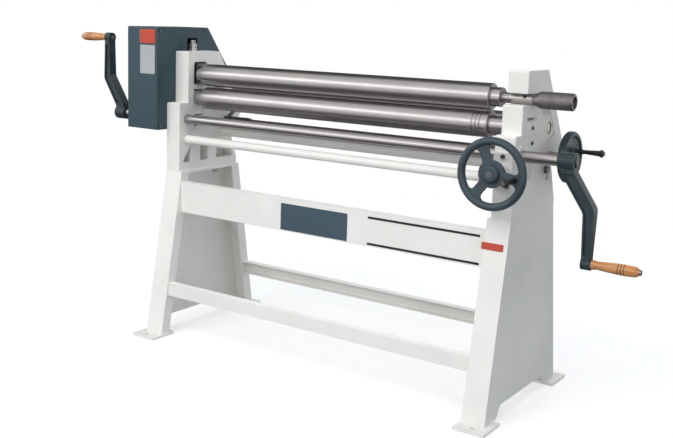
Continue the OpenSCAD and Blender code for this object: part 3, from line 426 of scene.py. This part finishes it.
def rounded_plate(name: str, low: Point, high: Point, corner: float, steps: int = 5) -> bpy.types.Object:
    """A thin plate that faces the front, with rounded corners and a softened edge.

    Args:
        name: Name of the new piece.
        low: Lowest corner.
        high: Highest corner.
        corner: Radius of the four corners, seen from the front.
        steps: Number of edges in each corner.

    Returns:
        The plate as an object.
    """
    centres = [(high[0] - corner, high[2] - corner), (low[0] + corner, high[2] - corner),
               (low[0] + corner, low[2] + corner), (high[0] - corner, low[2] + corner)]
    rim: list[Pair] = []
    for quarter, (x, z) in enumerate(centres):
        for step in range(steps + 1):
            angle = math.radians(90.0 * (quarter + step / steps))
            rim.append((x + corner * math.cos(angle), z + corner * math.sin(angle)))
    work = bmesh.new()
    back = [work.verts.new((x, high[1], z)) for x, z in rim]
    front = [work.verts.new((x, low[1], z)) for x, z in rim]
    work.faces.new(back)
    work.faces.new(front)
    for i in range(len(rim)):
        following = (i + 1) % len(rim)
        work.faces.new((back[i], back[following], front[following], front[i]))
    edges = [edge for edge in work.edges if all(v.co.y == front[0].co.y for v in edge.verts)]
    bmesh.ops.bevel(work, geom=edges, offset=(high[1] - low[1]) * EDGE_SHARE,
                    segments=EDGE_STEPS, affect="EDGES")
    return mesh_object(name, work)


def skin(rings: list[list[Point]], closed: bool = False) -> bmesh.types.BMesh:
    """Span quads between rings of points, and make each ring that shrinks to a point a pole.

    Args:
        rings: The rings, each with the same number of points.
        closed: Whether the last ring joins the first.

    Returns:
        The skin as a bmesh.
    """
    work = bmesh.new()
    verts = [[work.verts.new(point) for point in ring] for ring in rings]
    following = verts[1:] + verts[:1] if closed else verts[1:]
    for ring, other in zip(verts, following):
        for i in range(len(ring)):
            after = (i + 1) % len(ring)
            work.faces.new((ring[i], ring[after], other[after], other[i]))
    bmesh.ops.remove_doubles(work, verts=work.verts, dist=MERGE_DISTANCE)
    return work


def lathe(name: str, profile: list[Pair], centre: Pair, closed: bool = False,
          steps: int = 64) -> bpy.types.Object:
    """Turn a profile around a line along X.

    Args:
        name: Name of the new piece.
        profile: Points as (x, radius).
        centre: The line's place as (y, z).
        closed: Whether the profile is a closed loop.
        steps: Number of edges around.

    Returns:
        The turned shape as an object with smooth faces.
    """
    angles = [2.0 * math.pi * step / steps for step in range(steps)]
    rings = [[(x, centre[0] + radius * math.cos(angle), centre[1] + radius * math.sin(angle))
              for angle in angles] for x, radius in profile]
    work = skin(rings, closed)
    for face in work.faces:
        face.smooth = True
    return mesh_object(name, work)


class NodeNetwork:
    """A geometry node tree under construction, whose inputs are set on the modifier that runs it."""

    def __init__(self, name: str) -> None:
        """Start an empty tree with a geometry output.

        Args:
            name: Name of the tree.
        """
        self.tree = bpy.data.node_groups.new(name, "GeometryNodeTree")
        self.tree.interface.new_socket("Geometry", in_out="OUTPUT", socket_type="NodeSocketGeometry")
        self.entry = self.tree.nodes.new("NodeGroupInput")
        self.exit = self.tree.nodes.new("NodeGroupOutput")
        self.values: dict[str, float | int | bpy.types.Material] = {}

    def value(self, name: str, kind: str, setting: float | int | bpy.types.Material) -> Socket:
        """Add an input of the tree.

        Args:
            name: The input's name.
            kind: The kind of socket, such as Float or Int.
            setting: The setting that the tree will run with.

        Returns:
            The input's socket.
        """
        socket = self.tree.interface.new_socket(name, in_out="INPUT", socket_type=f"NodeSocket{kind}")
        self.values[socket.identifier] = setting
        return self.entry.outputs[name]

    def add(self, kind: str, feeds: dict[str | int, Socket], **settings: str) -> bpy.types.Node:
        """Add a node.

        Args:
            kind: The node's type.
            feeds: Sockets that lead into it, by the name or number of its input.
            settings: Plain settings of the node.

        Returns:
            The new node.
        """
        node = self.tree.nodes.new(kind)
        for key, setting in settings.items():
            setattr(node, key, setting)
        for key, socket in feeds.items():
            self.tree.links.new(socket, node.inputs[key])
        return node

    def math(self, operation: str, *values: Socket) -> Socket:
        """Work out a number from one or two others."""
        return self.add("ShaderNodeMath", dict(enumerate(values)), operation=operation).outputs["Value"]

    def run(self, name: str, geometry: Socket, material: Socket) -> bpy.types.Object:
        """Run the tree once and keep what it makes as a plain mesh.

        Args:
            name: Name of the new piece.
            geometry: The socket with the shape, as a mesh or as instances.
            material: The socket with its material.

        Returns:
            The new piece, with no modifier left on it.
        """
        real = self.add("GeometryNodeRealizeInstances", {"Geometry": geometry}).outputs["Geometry"]
        dressed = self.add("GeometryNodeSetMaterial", {"Geometry": real, "Material": material})
        self.tree.links.new(dressed.outputs["Geometry"], self.exit.inputs["Geometry"])
        piece = mesh_object(name, bpy.data.meshes.new(name))
        modifier = piece.modifiers.new(name, "NODES")
        modifier.node_group = self.tree
        for identifier, setting in self.values.items():
            modifier[identifier] = setting
        evaluated = piece.evaluated_get(bpy.context.evaluated_depsgraph_get())
        made = bpy.data.meshes.new_from_object(evaluated)
        piece.modifiers.remove(modifier)
        piece.data = made
        return piece


@dataclass
class Workshop:
    """What every sub-assembly needs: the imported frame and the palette."""

    frame: dict
    palette: Palette

    def place(self, piece: bpy.types.Object, finish: Finish, body: str, slot: str) -> None:
        """Give a new piece its finish and the body that it moves with.

        Args:
            piece: The new piece, already in place.
            finish: The finish that covers it.
            body: The body that it rides on.
            slot: The record's slot that its finish belongs to; not used.
        """
        piece.data.materials.clear()
        piece.data.materials.append(self.palette.get(finish))
        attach(piece, body)
        LOG.info("%s rides on %s", piece.name, body)


@dataclass
class SolidPieces:
    """The pieces that keep their solid shape and only get a finish."""

    workshop: Workshop
    own_finish: tuple[tuple[str, Finish], ...] = (
        ("top_roll_handle", Finish.KNURLED),
        ("front_hand_wheel", Finish.WHEEL_GREY),
        ("front_wheel_shaft", Finish.DARK_STEEL),
        ("front_handle_pin", Finish.DARK_STEEL),
        ("side_handle_pin", Finish.DARK_STEEL),
        ("crank_bushes", Finish.CREAM),
        ("kingpin", Finish.ZINC),
        ("frame_bolts", Finish.ZINC),
    )

    def dress(self) -> None:
        """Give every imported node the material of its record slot, or its own finish."""
        own = dict(self.own_finish)
        for entry in self.workshop.frame["record"]["subparts"]:
            name = entry["node"]
            node = self.workshop.frame["nodes"][name]
            palette = self.workshop.palette
            material = palette.get(own[name]) if name in own else palette.by_slot(entry["material_slot"])
            node.data.materials.clear()
            node.data.materials.append(material)
            LOG.info("%s is finished in %s", name, material.name)


@dataclass
class BeamPlates:
    """Blank panel and two stripes on the front beam."""

    workshop: Workshop
    thickness: float = 0.0008
    panel: tuple[float, float, float, float] = (-0.165, 0.136, 0.5105, 0.612)
    stripe_span: Pair = (0.223, 0.660)
    stripe_heights: Pair = (0.512, 0.607)
    stripe_width: float = 0.008
    panel_corner: float = 0.003
    stripe_corner: float = 0.001

    def build(self) -> None:
        """Lay the panel and the stripes on the beam's face."""
        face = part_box("front_beam")[0][1]
        left, right, bottom, top = self.panel
        low, high = (left, face - self.thickness, bottom), (right, face, top)
        plate = rounded_plate("beam_panel", low, high, self.panel_corner)
        self.workshop.place(plate, Finish.PANEL, "machine", "cover_paint")
        for name, height in zip(("lower", "upper"), self.stripe_heights):
            low = (self.stripe_span[0], face - self.thickness, height)
            high = (self.stripe_span[1], face, height + self.stripe_width)
            stripe = rounded_plate(f"beam_stripe_{name}", low, high, self.stripe_corner)
            self.workshop.place(stripe, Finish.STRIPE, "machine", "black_plastic")


@dataclass
class CoverPlates:
    """Two blank plates on the front of the gear cover."""

    workshop: Workshop
    thickness: float = 0.001
    red: tuple[float, float, float, float] = (-0.862, -0.776, 1.185, 1.241)
    silver: tuple[float, float, float, float] = (-0.858, -0.776, 1.063, 1.178)
    corner: float = 0.003

    def build(self) -> None:
        """Lay the plates on the cover's face."""
        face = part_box("gear_cover")[0][1]
        for name, finish, slot, sizes in (("red", Finish.RED, "cover_paint", self.red),
                                          ("silver", Finish.SILVER, "bright_steel", self.silver)):
            left, right, bottom, top = sizes
            low, high = (left, face - self.thickness, bottom), (right, face, top)
            plate = rounded_plate(f"cover_plate_{name}", low, high, self.corner)
            self.workshop.place(plate, finish, "machine", slot)


@dataclass
class Knurl:
    """Diamond knurling on the roll's pull handle."""

    workshop: Workshop
    pitch: float = 0.0024
    depth: float = 0.0007
    sunk: float = 0.00025
    cone_length: float = 0.027
    end_length: float = 0.004
    tooth_sides: int = 4
    tooth_share: float = 0.7

    def build(self) -> None:
        """Press rows of small pyramids into the handle's cylinder."""
        low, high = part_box("top_roll_handle")
        radius = (high[2] - low[2]) / 2
        start, stop = low[0] + self.cone_length, high[0] - self.end_length
        rows = round((stop - start) / self.pitch)
        columns = round(2.0 * math.pi * radius / self.pitch)
        network = NodeNetwork("knurl")
        material = network.value("Material", "Material", self.workshop.palette.get(Finish.KNURLED))
        reach = network.value("Radius", "Float", radius - self.sunk)
        grid = network.add("GeometryNodeMeshGrid", {
            "Size X": network.value("Length", "Float", stop - start - self.pitch),
            "Size Y": network.value("Turn", "Float", 2.0 * math.pi * (columns - 1) / columns),
            "Vertices X": network.value("Rows", "Int", rows),
            "Vertices Y": network.value("Columns", "Int", columns),
        })
        place = network.add("GeometryNodeInputPosition", {}).outputs["Position"]
        flat = network.add("ShaderNodeSeparateXYZ", {"Vector": place})
        across, along = network.math("COSINE", flat.outputs["Y"]), network.math("SINE", flat.outputs["Y"])
        wrapped = network.add("ShaderNodeCombineXYZ", {
            "X": flat.outputs["X"],
            "Y": network.math("MULTIPLY", across, reach),
            "Z": network.math("MULTIPLY", along, reach),
        })
        outward = network.add("ShaderNodeCombineXYZ", {"Y": across, "Z": along})
        store = network.add("GeometryNodeCaptureAttribute", {"Geometry": grid.outputs["Mesh"]})
        store.capture_items.new("VECTOR", "Outward")
        network.tree.links.new(outward.outputs["Vector"], store.inputs["Outward"])
        bent = network.add("GeometryNodeSetPosition", {
            "Geometry": store.outputs["Geometry"], "Position": wrapped.outputs["Vector"]})
        tooth = network.add("GeometryNodeMeshCone", {
            "Vertices": network.value("Sides", "Int", self.tooth_sides),
            "Radius Bottom": network.value("Tooth", "Float", self.pitch * self.tooth_share),
            "Depth": network.value("Depth", "Float", self.depth),
        }, fill_type="NGON")
        normal = store.outputs["Outward"]
        turn = network.add("FunctionNodeAlignRotationToVector", {"Vector": normal}, axis="Z")
        teeth = network.add("GeometryNodeInstanceOnPoints", {
            "Points": bent.outputs["Geometry"], "Instance": tooth.outputs["Mesh"],
            "Rotation": turn.outputs["Rotation"]})
        piece = network.run("handle_knurl", teeth.outputs["Instances"], material)
        middle = ((start + stop) / 2, (low[1] + high[1]) / 2, (low[2] + high[2]) / 2)
        piece.data.transform(Matrix.Translation(middle))
        self.workshop.place(piece, Finish.KNURLED, "top_roll_body", "dark_steel")


@dataclass
class GripRings:
    """Burnt rings in the grooves of the two wooden grips."""

    workshop: Workshop
    neck_length: float = 0.018
    spare_length: float = 0.034
    waist: float = 0.72
    swell: float = 0.28
    sweep: float = 125.0
    places: tuple[float, float, float] = (0.60, 0.68, 0.76)
    groove: float = 0.00132
    proud: float = 0.0004
    lining: float = 0.0003
    arc_start: float = 200.0
    arc_step: float = 20.0
    arc_points: int = 8

    def build(self) -> None:
        """Line every groove with a thin dark band."""
        angles = [math.radians(self.arc_start + self.arc_step * step) for step in range(self.arc_points)]
        reaches = [(self.groove, angle) for angle in angles]
        reaches += [(self.groove - self.lining, angle) for angle in reversed(angles)]
        for side, outward in (("right", 1.0), ("left", -1.0)):
            low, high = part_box(f"{side}_grip")
            inner = low[0] if outward > 0.0 else high[0]
            radius = (high[2] - low[2]) / 2
            body = high[0] - low[0] - self.spare_length
            centre = ((low[1] + high[1]) / 2, (low[2] + high[2]) / 2)
            for number, share in enumerate(self.places):
                bulge = self.swell * math.sin(math.radians(share * self.sweep))
                ring = radius * (self.waist + bulge) + self.proud
                x = inner + outward * (self.neck_length + share * body)
                arc = [(x + reach * math.cos(angle), ring + reach * math.sin(angle))
                       for reach, angle in reaches]
                band = lathe(f"{side}_grip_ring_{number}", arc, centre, closed=True)
                self.workshop.place(band, Finish.BURNT, f"grip_{side}", "wood")


@dataclass
class LegPlate:
    """Small blank plate on the sloping front of the right leg."""

    workshop: Workshop
    middle: Pair = (0.710, 0.584)
    size: Pair = (0.078, 0.024)
    thickness: float = 0.0008
    corner: float = 0.004
    floor_edge: float = 0.2935
    lean: float = 0.1714

    def build(self) -> None:
        """Lay the plate on the leg, leaning with it."""
        x, z = self.middle
        wide, tall = self.size
        low, high = (-wide / 2, -self.thickness, -tall / 2), (wide / 2, 0.0, tall / 2)
        plate = rounded_plate("leg_plate", low, high, self.corner)
        face = self.lean * z - self.floor_edge
        lean = Matrix.Rotation(-math.atan(self.lean), 4, "X")
        plate.data.transform(Matrix.Translation((x, face, z)) @ lean)
        self.workshop.place(plate, Finish.RED, "machine", "cover_paint")


@dataclass
class ShaftCaps:
    """Painted ends of the crank shaft in the two crank hubs."""

    workshop: Workshop
    thickness: float = 0.0006
    spare: float = 0.0005

    def build(self) -> None:
        """Cover both ends of the shaft with a thin disc of paint."""
        low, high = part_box("crank_shaft")
        centre = ((low[1] + high[1]) / 2, (low[2] + high[2]) / 2)
        radius = (high[2] - low[2]) / 2 + self.spare
        for name, end, outward in (("right", high[0], 1.0), ("left", low[0], -1.0)):
            face = end + outward * self.thickness
            disc = [(end, 0.0), (end, radius), (face, radius - self.spare), (face, 0.0)]
            cap = lathe(f"{name}_shaft_cap", disc, centre)
            self.workshop.place(cap, Finish.CAST_GREY, "crank", "cast_grey")


@dataclass
class NeckScrew:
    """Set screw with a hexagon socket, in the hole of the top roll's outer journal."""

    workshop: Workshop
    from_end: float = 0.024
    tilt: float = 60.0
    seat: float = 0.0121
    height: float = 0.005
    radius: float = 0.0066
    chamfer: float = 0.0008
    socket_half: float = 0.0032
    socket_depth: float = 0.0034
    steps: int = 24

    def ring(self, reach: float, level: float, hexagon: bool = False) -> list[Point]:
        """One ring of the screw's skin, round or six-sided.

        Args:
            reach: Radius of the ring, or half the width of the six-sided one.
            level: Height above the seat.
            hexagon: Whether the ring is six-sided.

        Returns:
            The ring's points.
        """
        points: list[Point] = []
        for step in range(self.steps):
            angle = 2.0 * math.pi * step / self.steps
            flat = math.cos(angle % (math.pi / 3) - math.pi / 6) if hexagon else 1.0
            points.append((reach / flat * math.cos(angle), reach / flat * math.sin(angle), level))
        return points

    def build(self) -> None:
        """Turn the screw into its hole."""
        low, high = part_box("top_roll")
        top, floor = self.height, self.height - self.socket_depth
        work = skin([
            self.ring(0.0, 0.0),
            self.ring(self.radius, 0.0),
            self.ring(self.radius, top - self.chamfer),
            self.ring(self.radius - self.chamfer, top),
            self.ring(self.socket_half, top, hexagon=True),
            self.ring(self.socket_half, floor, hexagon=True),
            self.ring(0.0, floor),
        ])
        screw = mesh_object("neck_screw", work)
        centre = (high[0] - self.from_end, (low[1] + high[1]) / 2, (low[2] + high[2]) / 2)
        turn = Matrix.Rotation(math.radians(self.tilt), 4, "X")
        seat = Matrix.Translation((0.0, 0.0, self.seat))
        screw.data.transform(Matrix.Translation(centre) @ turn @ seat)
        self.workshop.place(screw, Finish.DARK_STEEL, "top_roll_body", "dark_steel")


@dataclass
class StudThreads:
    """Screw threads on the stud ends that stand out past their nuts."""

    workshop: Workshop
    pitch: float = 0.002
    ridge: float = 0.0008
    ridge_sides: int = 4
    points_per_turn: int = 24
    margin: float = 0.0015
    king_radius: float = 0.010
    king_length: float = 0.014
    bolt_radius: float = 0.008
    bolt_length: float = 0.009
    bolt_nut: float = 0.014

    def wind(self, name: str, centre: Pair, radius: float, low: float, high: float) -> None:
        """Wind one ridge around a stud.

        Args:
            name: Name of the new piece.
            centre: The stud's line as (x, y).
            radius: The stud's radius.
            low: Lower end of the stud's free length.
            high: Upper end of the stud's free length.
        """
        start, length = low + self.margin, high - low - 2.0 * self.margin
        network = NodeNetwork(name)
        material = network.value("Material", "Material", self.workshop.palette.get(Finish.ZINC))
        reach = network.value("Radius", "Float", radius)
        spiral = network.add("GeometryNodeCurveSpiral", {
            "Resolution": network.value("Points per turn", "Int", self.points_per_turn),
            "Rotations": network.value("Turns", "Float", length / self.pitch),
            "Start Radius": reach,
            "End Radius": reach,
            "Height": network.value("Height", "Float", length),
        })
        profile = network.add("GeometryNodeCurvePrimitiveCircle", {
            "Resolution": network.value("Sides", "Int", self.ridge_sides),
            "Radius": network.value("Ridge", "Float", self.ridge),
        })
        sweep = network.add("GeometryNodeCurveToMesh", {
            "Curve": spiral.outputs["Curve"],
            "Profile Curve": profile.outputs["Curve"],
            "Fill Caps": network.value("Caps", "Bool", True),
        })
        piece = network.run(name, sweep.outputs["Mesh"], material)
        piece.data.transform(Matrix.Translation((centre[0], centre[1], start)))
        work = bmesh.new()
        work.from_mesh(piece.data)
        bmesh.ops.recalc_face_normals(work, faces=work.faces)
        work.to_mesh(piece.data)
        work.free()
        self.workshop.place(piece, Finish.ZINC, "machine", "dark_steel")

    def build(self) -> None:
        """Thread the kingpin's top and the lower ends of the four frame bolts."""
        low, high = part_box("kingpin")
        centre = ((low[0] + high[0]) / 2, (low[1] + high[1]) / 2)
        self.wind("kingpin_thread", centre, self.king_radius, high[2] - self.king_length, high[2])
        low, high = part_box("frame_bolts")
        half_flat = self.bolt_nut * math.cos(math.pi / 6)
        for side, x in (("left", low[0] + self.bolt_nut), ("right", high[0] - self.bolt_nut)):
            for end, y in (("front", low[1] + half_flat), ("rear", high[1] - half_flat)):
                name = f"{side}_{end}_bolt_thread"
                self.wind(name, (x, y), self.bolt_radius, low[2], low[2] + self.bolt_length)


@dataclass(frozen=True)
class PhotoCamera:
    """The camera that took the photograph, as fitted to the machine's edges."""

    place: Point = (2.0114, -3.0430, 1.3015)
    yaw: float = 35.14
    pitch: float = 8.90
    roll: float = -1.65
    focal_px: float = 969.1
    centre_px: Pair = (317.4, 170.5)
    image_px: tuple[int, int] = (673, 438)
    sensor_mm: float = 36.0

    def build(self) -> None:
        """Make the camera and set it as the scene's own."""
        yaw, pitch, roll = (math.radians(angle) for angle in (self.yaw, self.pitch, self.roll))
        flat = math.cos(pitch)
        ahead = Vector((-math.sin(yaw) * flat, math.cos(yaw) * flat, -math.sin(pitch)))
        level = Vector((math.cos(yaw), math.sin(yaw), 0.0))
        down = ahead.cross(level)
        right = math.cos(roll) * level + math.sin(roll) * down
        lower = -math.sin(roll) * level + math.cos(roll) * down
        data = bpy.data.cameras.new("photo_camera")
        width, height = self.image_px
        data.sensor_fit = "HORIZONTAL"
        data.sensor_width = self.sensor_mm
        data.lens = self.focal_px / width * self.sensor_mm
        data.shift_x = (width / 2 - self.centre_px[0]) / width
        data.shift_y = (self.centre_px[1] - height / 2) / width
        data.clip_end = 100.0
        camera = bpy.data.objects.new("photo_camera", data)
        turn = Matrix((right, -lower, -ahead)).transposed().to_4x4()
        camera.matrix_world = Matrix.Translation(self.place) @ turn
        bpy.context.scene.collection.objects.link(camera)
        bpy.context.scene.camera = camera


class LampUse(Enum):
    """Whether a lamp lights the machine, is mirrored in it, or both."""

    BOTH = "both"
    LIGHT = "light"
    MIRROR = "mirror"


@dataclass(frozen=True)
class SoftBox:
    """A flat lamp with an even face."""

    name: str
    place: Point
    face: Pair
    power: float
    aim: Point = (0.0, 0.0, 0.8)
    use: LampUse = LampUse.BOTH
    colour: Colour = WHITE

    def build(self) -> None:
        """Hang the lamp and turn it to what it lights."""
        data = bpy.data.lights.new(f"{self.name}_lamp", "AREA")
        data.shape = "RECTANGLE"
        data.size, data.size_y = self.face
        data.energy = self.power
        data.color = self.colour
        lamp = bpy.data.objects.new(f"{self.name}_lamp", data)
        lamp.visible_glossy = self.use is not LampUse.LIGHT
        lamp.visible_diffuse = self.use is not LampUse.MIRROR
        ahead = Vector(self.aim) - Vector(self.place)
        turn = ahead.to_track_quat("-Z", "Y").to_matrix().to_4x4()
        lamp.matrix_world = Matrix.Translation(self.place) @ turn
        bpy.context.scene.collection.objects.link(lamp)
        LOG.info("%s hangs at %s", lamp.name, self.place)


@dataclass(frozen=True)
class Studio:
    """White floor and backdrop, soft light, and two dark flags that show only in reflections."""

    floor_half: float = 14.0
    floor_grey: float = 0.55
    floor_glow: float = 0.48
    fade_start: float = 1.6
    fade_end: float = 3.4
    sky_light: Colour = (0.54, 0.585, 0.625)
    lamps: tuple[SoftBox, ...] = (
        SoftBox("key", (-0.5, -4.3, 4.2), (4.2, 4.2), 213.0, use=LampUse.LIGHT, colour=(1.0, 0.978, 0.955)),
        SoftBox("strip", (-2.9, -4.2, 2.9), (4.6, 1.5), 55.0, use=LampUse.MIRROR),
        SoftBox("fill", (4.2, -2.6, 2.6), (2.5, 2.5), 12.0),
        SoftBox("rear", (0.5, 3.8, 3.8), (3.0, 3.0), 80.0),
        SoftBox("inner", (0.40, -0.10, 2.30), (0.6, 0.6), 2.0, (-0.80, -0.05, 0.90), LampUse.LIGHT),
    )
    flags: tuple[tuple[str, tuple[Point, Point, Point, Point]], ...] = (
        ("back_flag", ((-7.0, 3.6, 2.3), (7.0, 3.6, 2.3), (7.0, 0.1, 7.5), (-7.0, 0.1, 7.5))),
        ("floor_flag", ((-7.0, -2.6, 0.02), (7.0, -2.6, 0.02), (7.0, 3.0, 0.02), (-7.0, 3.0, 0.02))),
    )
    flag_grey: float = 0.10

    def build(self) -> None:
        """Make the floor, the sky, the flags and the lamps."""
        self.make_floor()
        self.make_sky()
        self.make_flags()
        for lamp in self.lamps:
            lamp.build()

    @staticmethod
    def sheet(name: str, corners: tuple[Point, ...], material: bpy.types.Material) -> bpy.types.Object:
        """Hang or lay one flat sheet that isn't part of the machine.

        Args:
            name: Name of the sheet.
            corners: Its corners, in order round the edge.
            material: What it is made of.

        Returns:
            The sheet as an object on the stage.
        """
        work = bmesh.new()
        work.faces.new([work.verts.new(corner) for corner in corners])
        piece = mesh_object(name, work)
        piece.data.materials.append(material)
        return piece

    @staticmethod
    def seen_rays(nodes: bpy.types.Nodes, links: bpy.types.NodeLinks) -> Socket:
        """Tell rays on which the background is seen, straight or in a mirror, from those that only light.

        Args:
            nodes: Nodes of the tree that asks.
            links: Links of the same tree.

        Returns:
            A socket that is 1 for a seen ray and 0 for any other.
        """
        path = nodes.new("ShaderNodeLightPath")
        seen = path.outputs["Is Camera Ray"]
        for other in ("Is Glossy Ray", "Is Transmission Ray"):
            either = nodes.new("ShaderNodeMath")
            either.operation = "MAXIMUM"
            links.new(seen, either.inputs[0])
            links.new(path.outputs[other], either.inputs[1])
            seen = either.outputs["Value"]
        return seen

    def make_floor(self) -> None:
        """Lay a pale sheet that keeps the shadow near the machine and is plain white further off."""
        half = self.floor_half
        shader = Shader("floor_white")
        shader.set(Roughness=0.9, Specular_IOR_Level=0.0, Emission_Color=WHITE)
        seen = self.seen_rays(shader.nodes, shader.links)
        distance = shader.nodes.new("ShaderNodeVectorMath")
        distance.operation = "LENGTH"
        shader.links.new(shader.coords, distance.inputs[0])
        near = self.fade(shader, distance.outputs["Value"], self.floor_glow, 1.0)
        glow = shader.nodes.new("ShaderNodeMath")
        glow.operation = "MULTIPLY"
        shader.links.new(seen, glow.inputs[0])
        shader.links.new(near, glow.inputs[1])
        shader.join(glow.outputs["Value"], "Emission Strength")
        grey = shader.nodes.new("ShaderNodeCombineColor")
        level = self.fade(shader, distance.outputs["Value"], self.floor_grey, 0.0)
        for channel in ("Red", "Green", "Blue"):
            shader.links.new(level, grey.inputs[channel])
        shader.join(grey.outputs["Color"], "Base Color")
        corners = ((-half, -half, 0.0), (half, -half, 0.0), (half, half, 0.0), (-half, half, 0.0))
        self.sheet("studio_floor", corners, shader.material)

    def fade(self, shader: Shader, distance: Socket, near: float, far: float) -> Socket:
        """Lead a number from its near to its far setting between the two fade distances.

        Args:
            shader: The shader that needs it.
            distance: Socket with the distance from the middle of the floor.
            near: The number up to the first fade distance.
            far: The number past the second fade distance.

        Returns:
            The socket with the number.
        """
        span = shader.nodes.new("ShaderNodeMapRange")
        span.interpolation_type = "SMOOTHSTEP"
        span.inputs["From Min"].default_value = self.fade_start
        span.inputs["From Max"].default_value = self.fade_end
        span.inputs["To Min"].default_value = near
        span.inputs["To Max"].default_value = far
        shader.links.new(distance, span.inputs["Value"])
        return span.outputs["Result"]

    def make_flags(self) -> None:
        """Hang the dark flags out of the camera's and the soft light's sight."""
        shader = Shader("flag_dark")
        shader.set(Base_Color=(self.flag_grey,) * 3, Roughness=1.0, Specular_IOR_Level=0.0)
        for name, corners in self.flags:
            flag = self.sheet(name, corners, shader.material)
            flag.visible_camera = False
            flag.visible_diffuse = False
            flag.visible_transmission = False
            flag.visible_shadow = False

    def make_sky(self) -> None:
        """Light all round: white where it is seen, dimmer and cooler where it only lights."""
        world = bpy.data.worlds.new("studio_sky")
        bpy.context.scene.world = world
        world.use_nodes = True
        nodes, links = world.node_tree.nodes, world.node_tree.links
        colours = nodes.new("ShaderNodeValToRGB")
        lighting, seen = colours.color_ramp.elements
        lighting.color = (*self.sky_light, 1.0)
        seen.color = (*WHITE, 1.0)
        links.new(self.seen_rays(nodes, links), colours.inputs["Fac"])
        links.new(colours.outputs["Color"], nodes["Background"].inputs["Color"])


def main() -> None:
    """Load the frame, dress it, and set the camera and the light."""
    logging.basicConfig(level=logging.INFO, format="%(name)s: %(message)s")
    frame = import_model()
    workshop = Workshop(frame, Palette())
    PhotoCamera().build()
    Studio().build()
    SolidPieces(workshop).dress()
    BeamPlates(workshop).build()
    CoverPlates(workshop).build()
    Knurl(workshop).build()
    GripRings(workshop).build()
    LegPlate(workshop).build()
    ShaftCaps(workshop).build()
    NeckScrew(workshop).build()
    StudThreads(workshop).build()
    bpy.context.scene.view_settings.view_transform = "Standard"


if __name__ == "__main__":
    main()
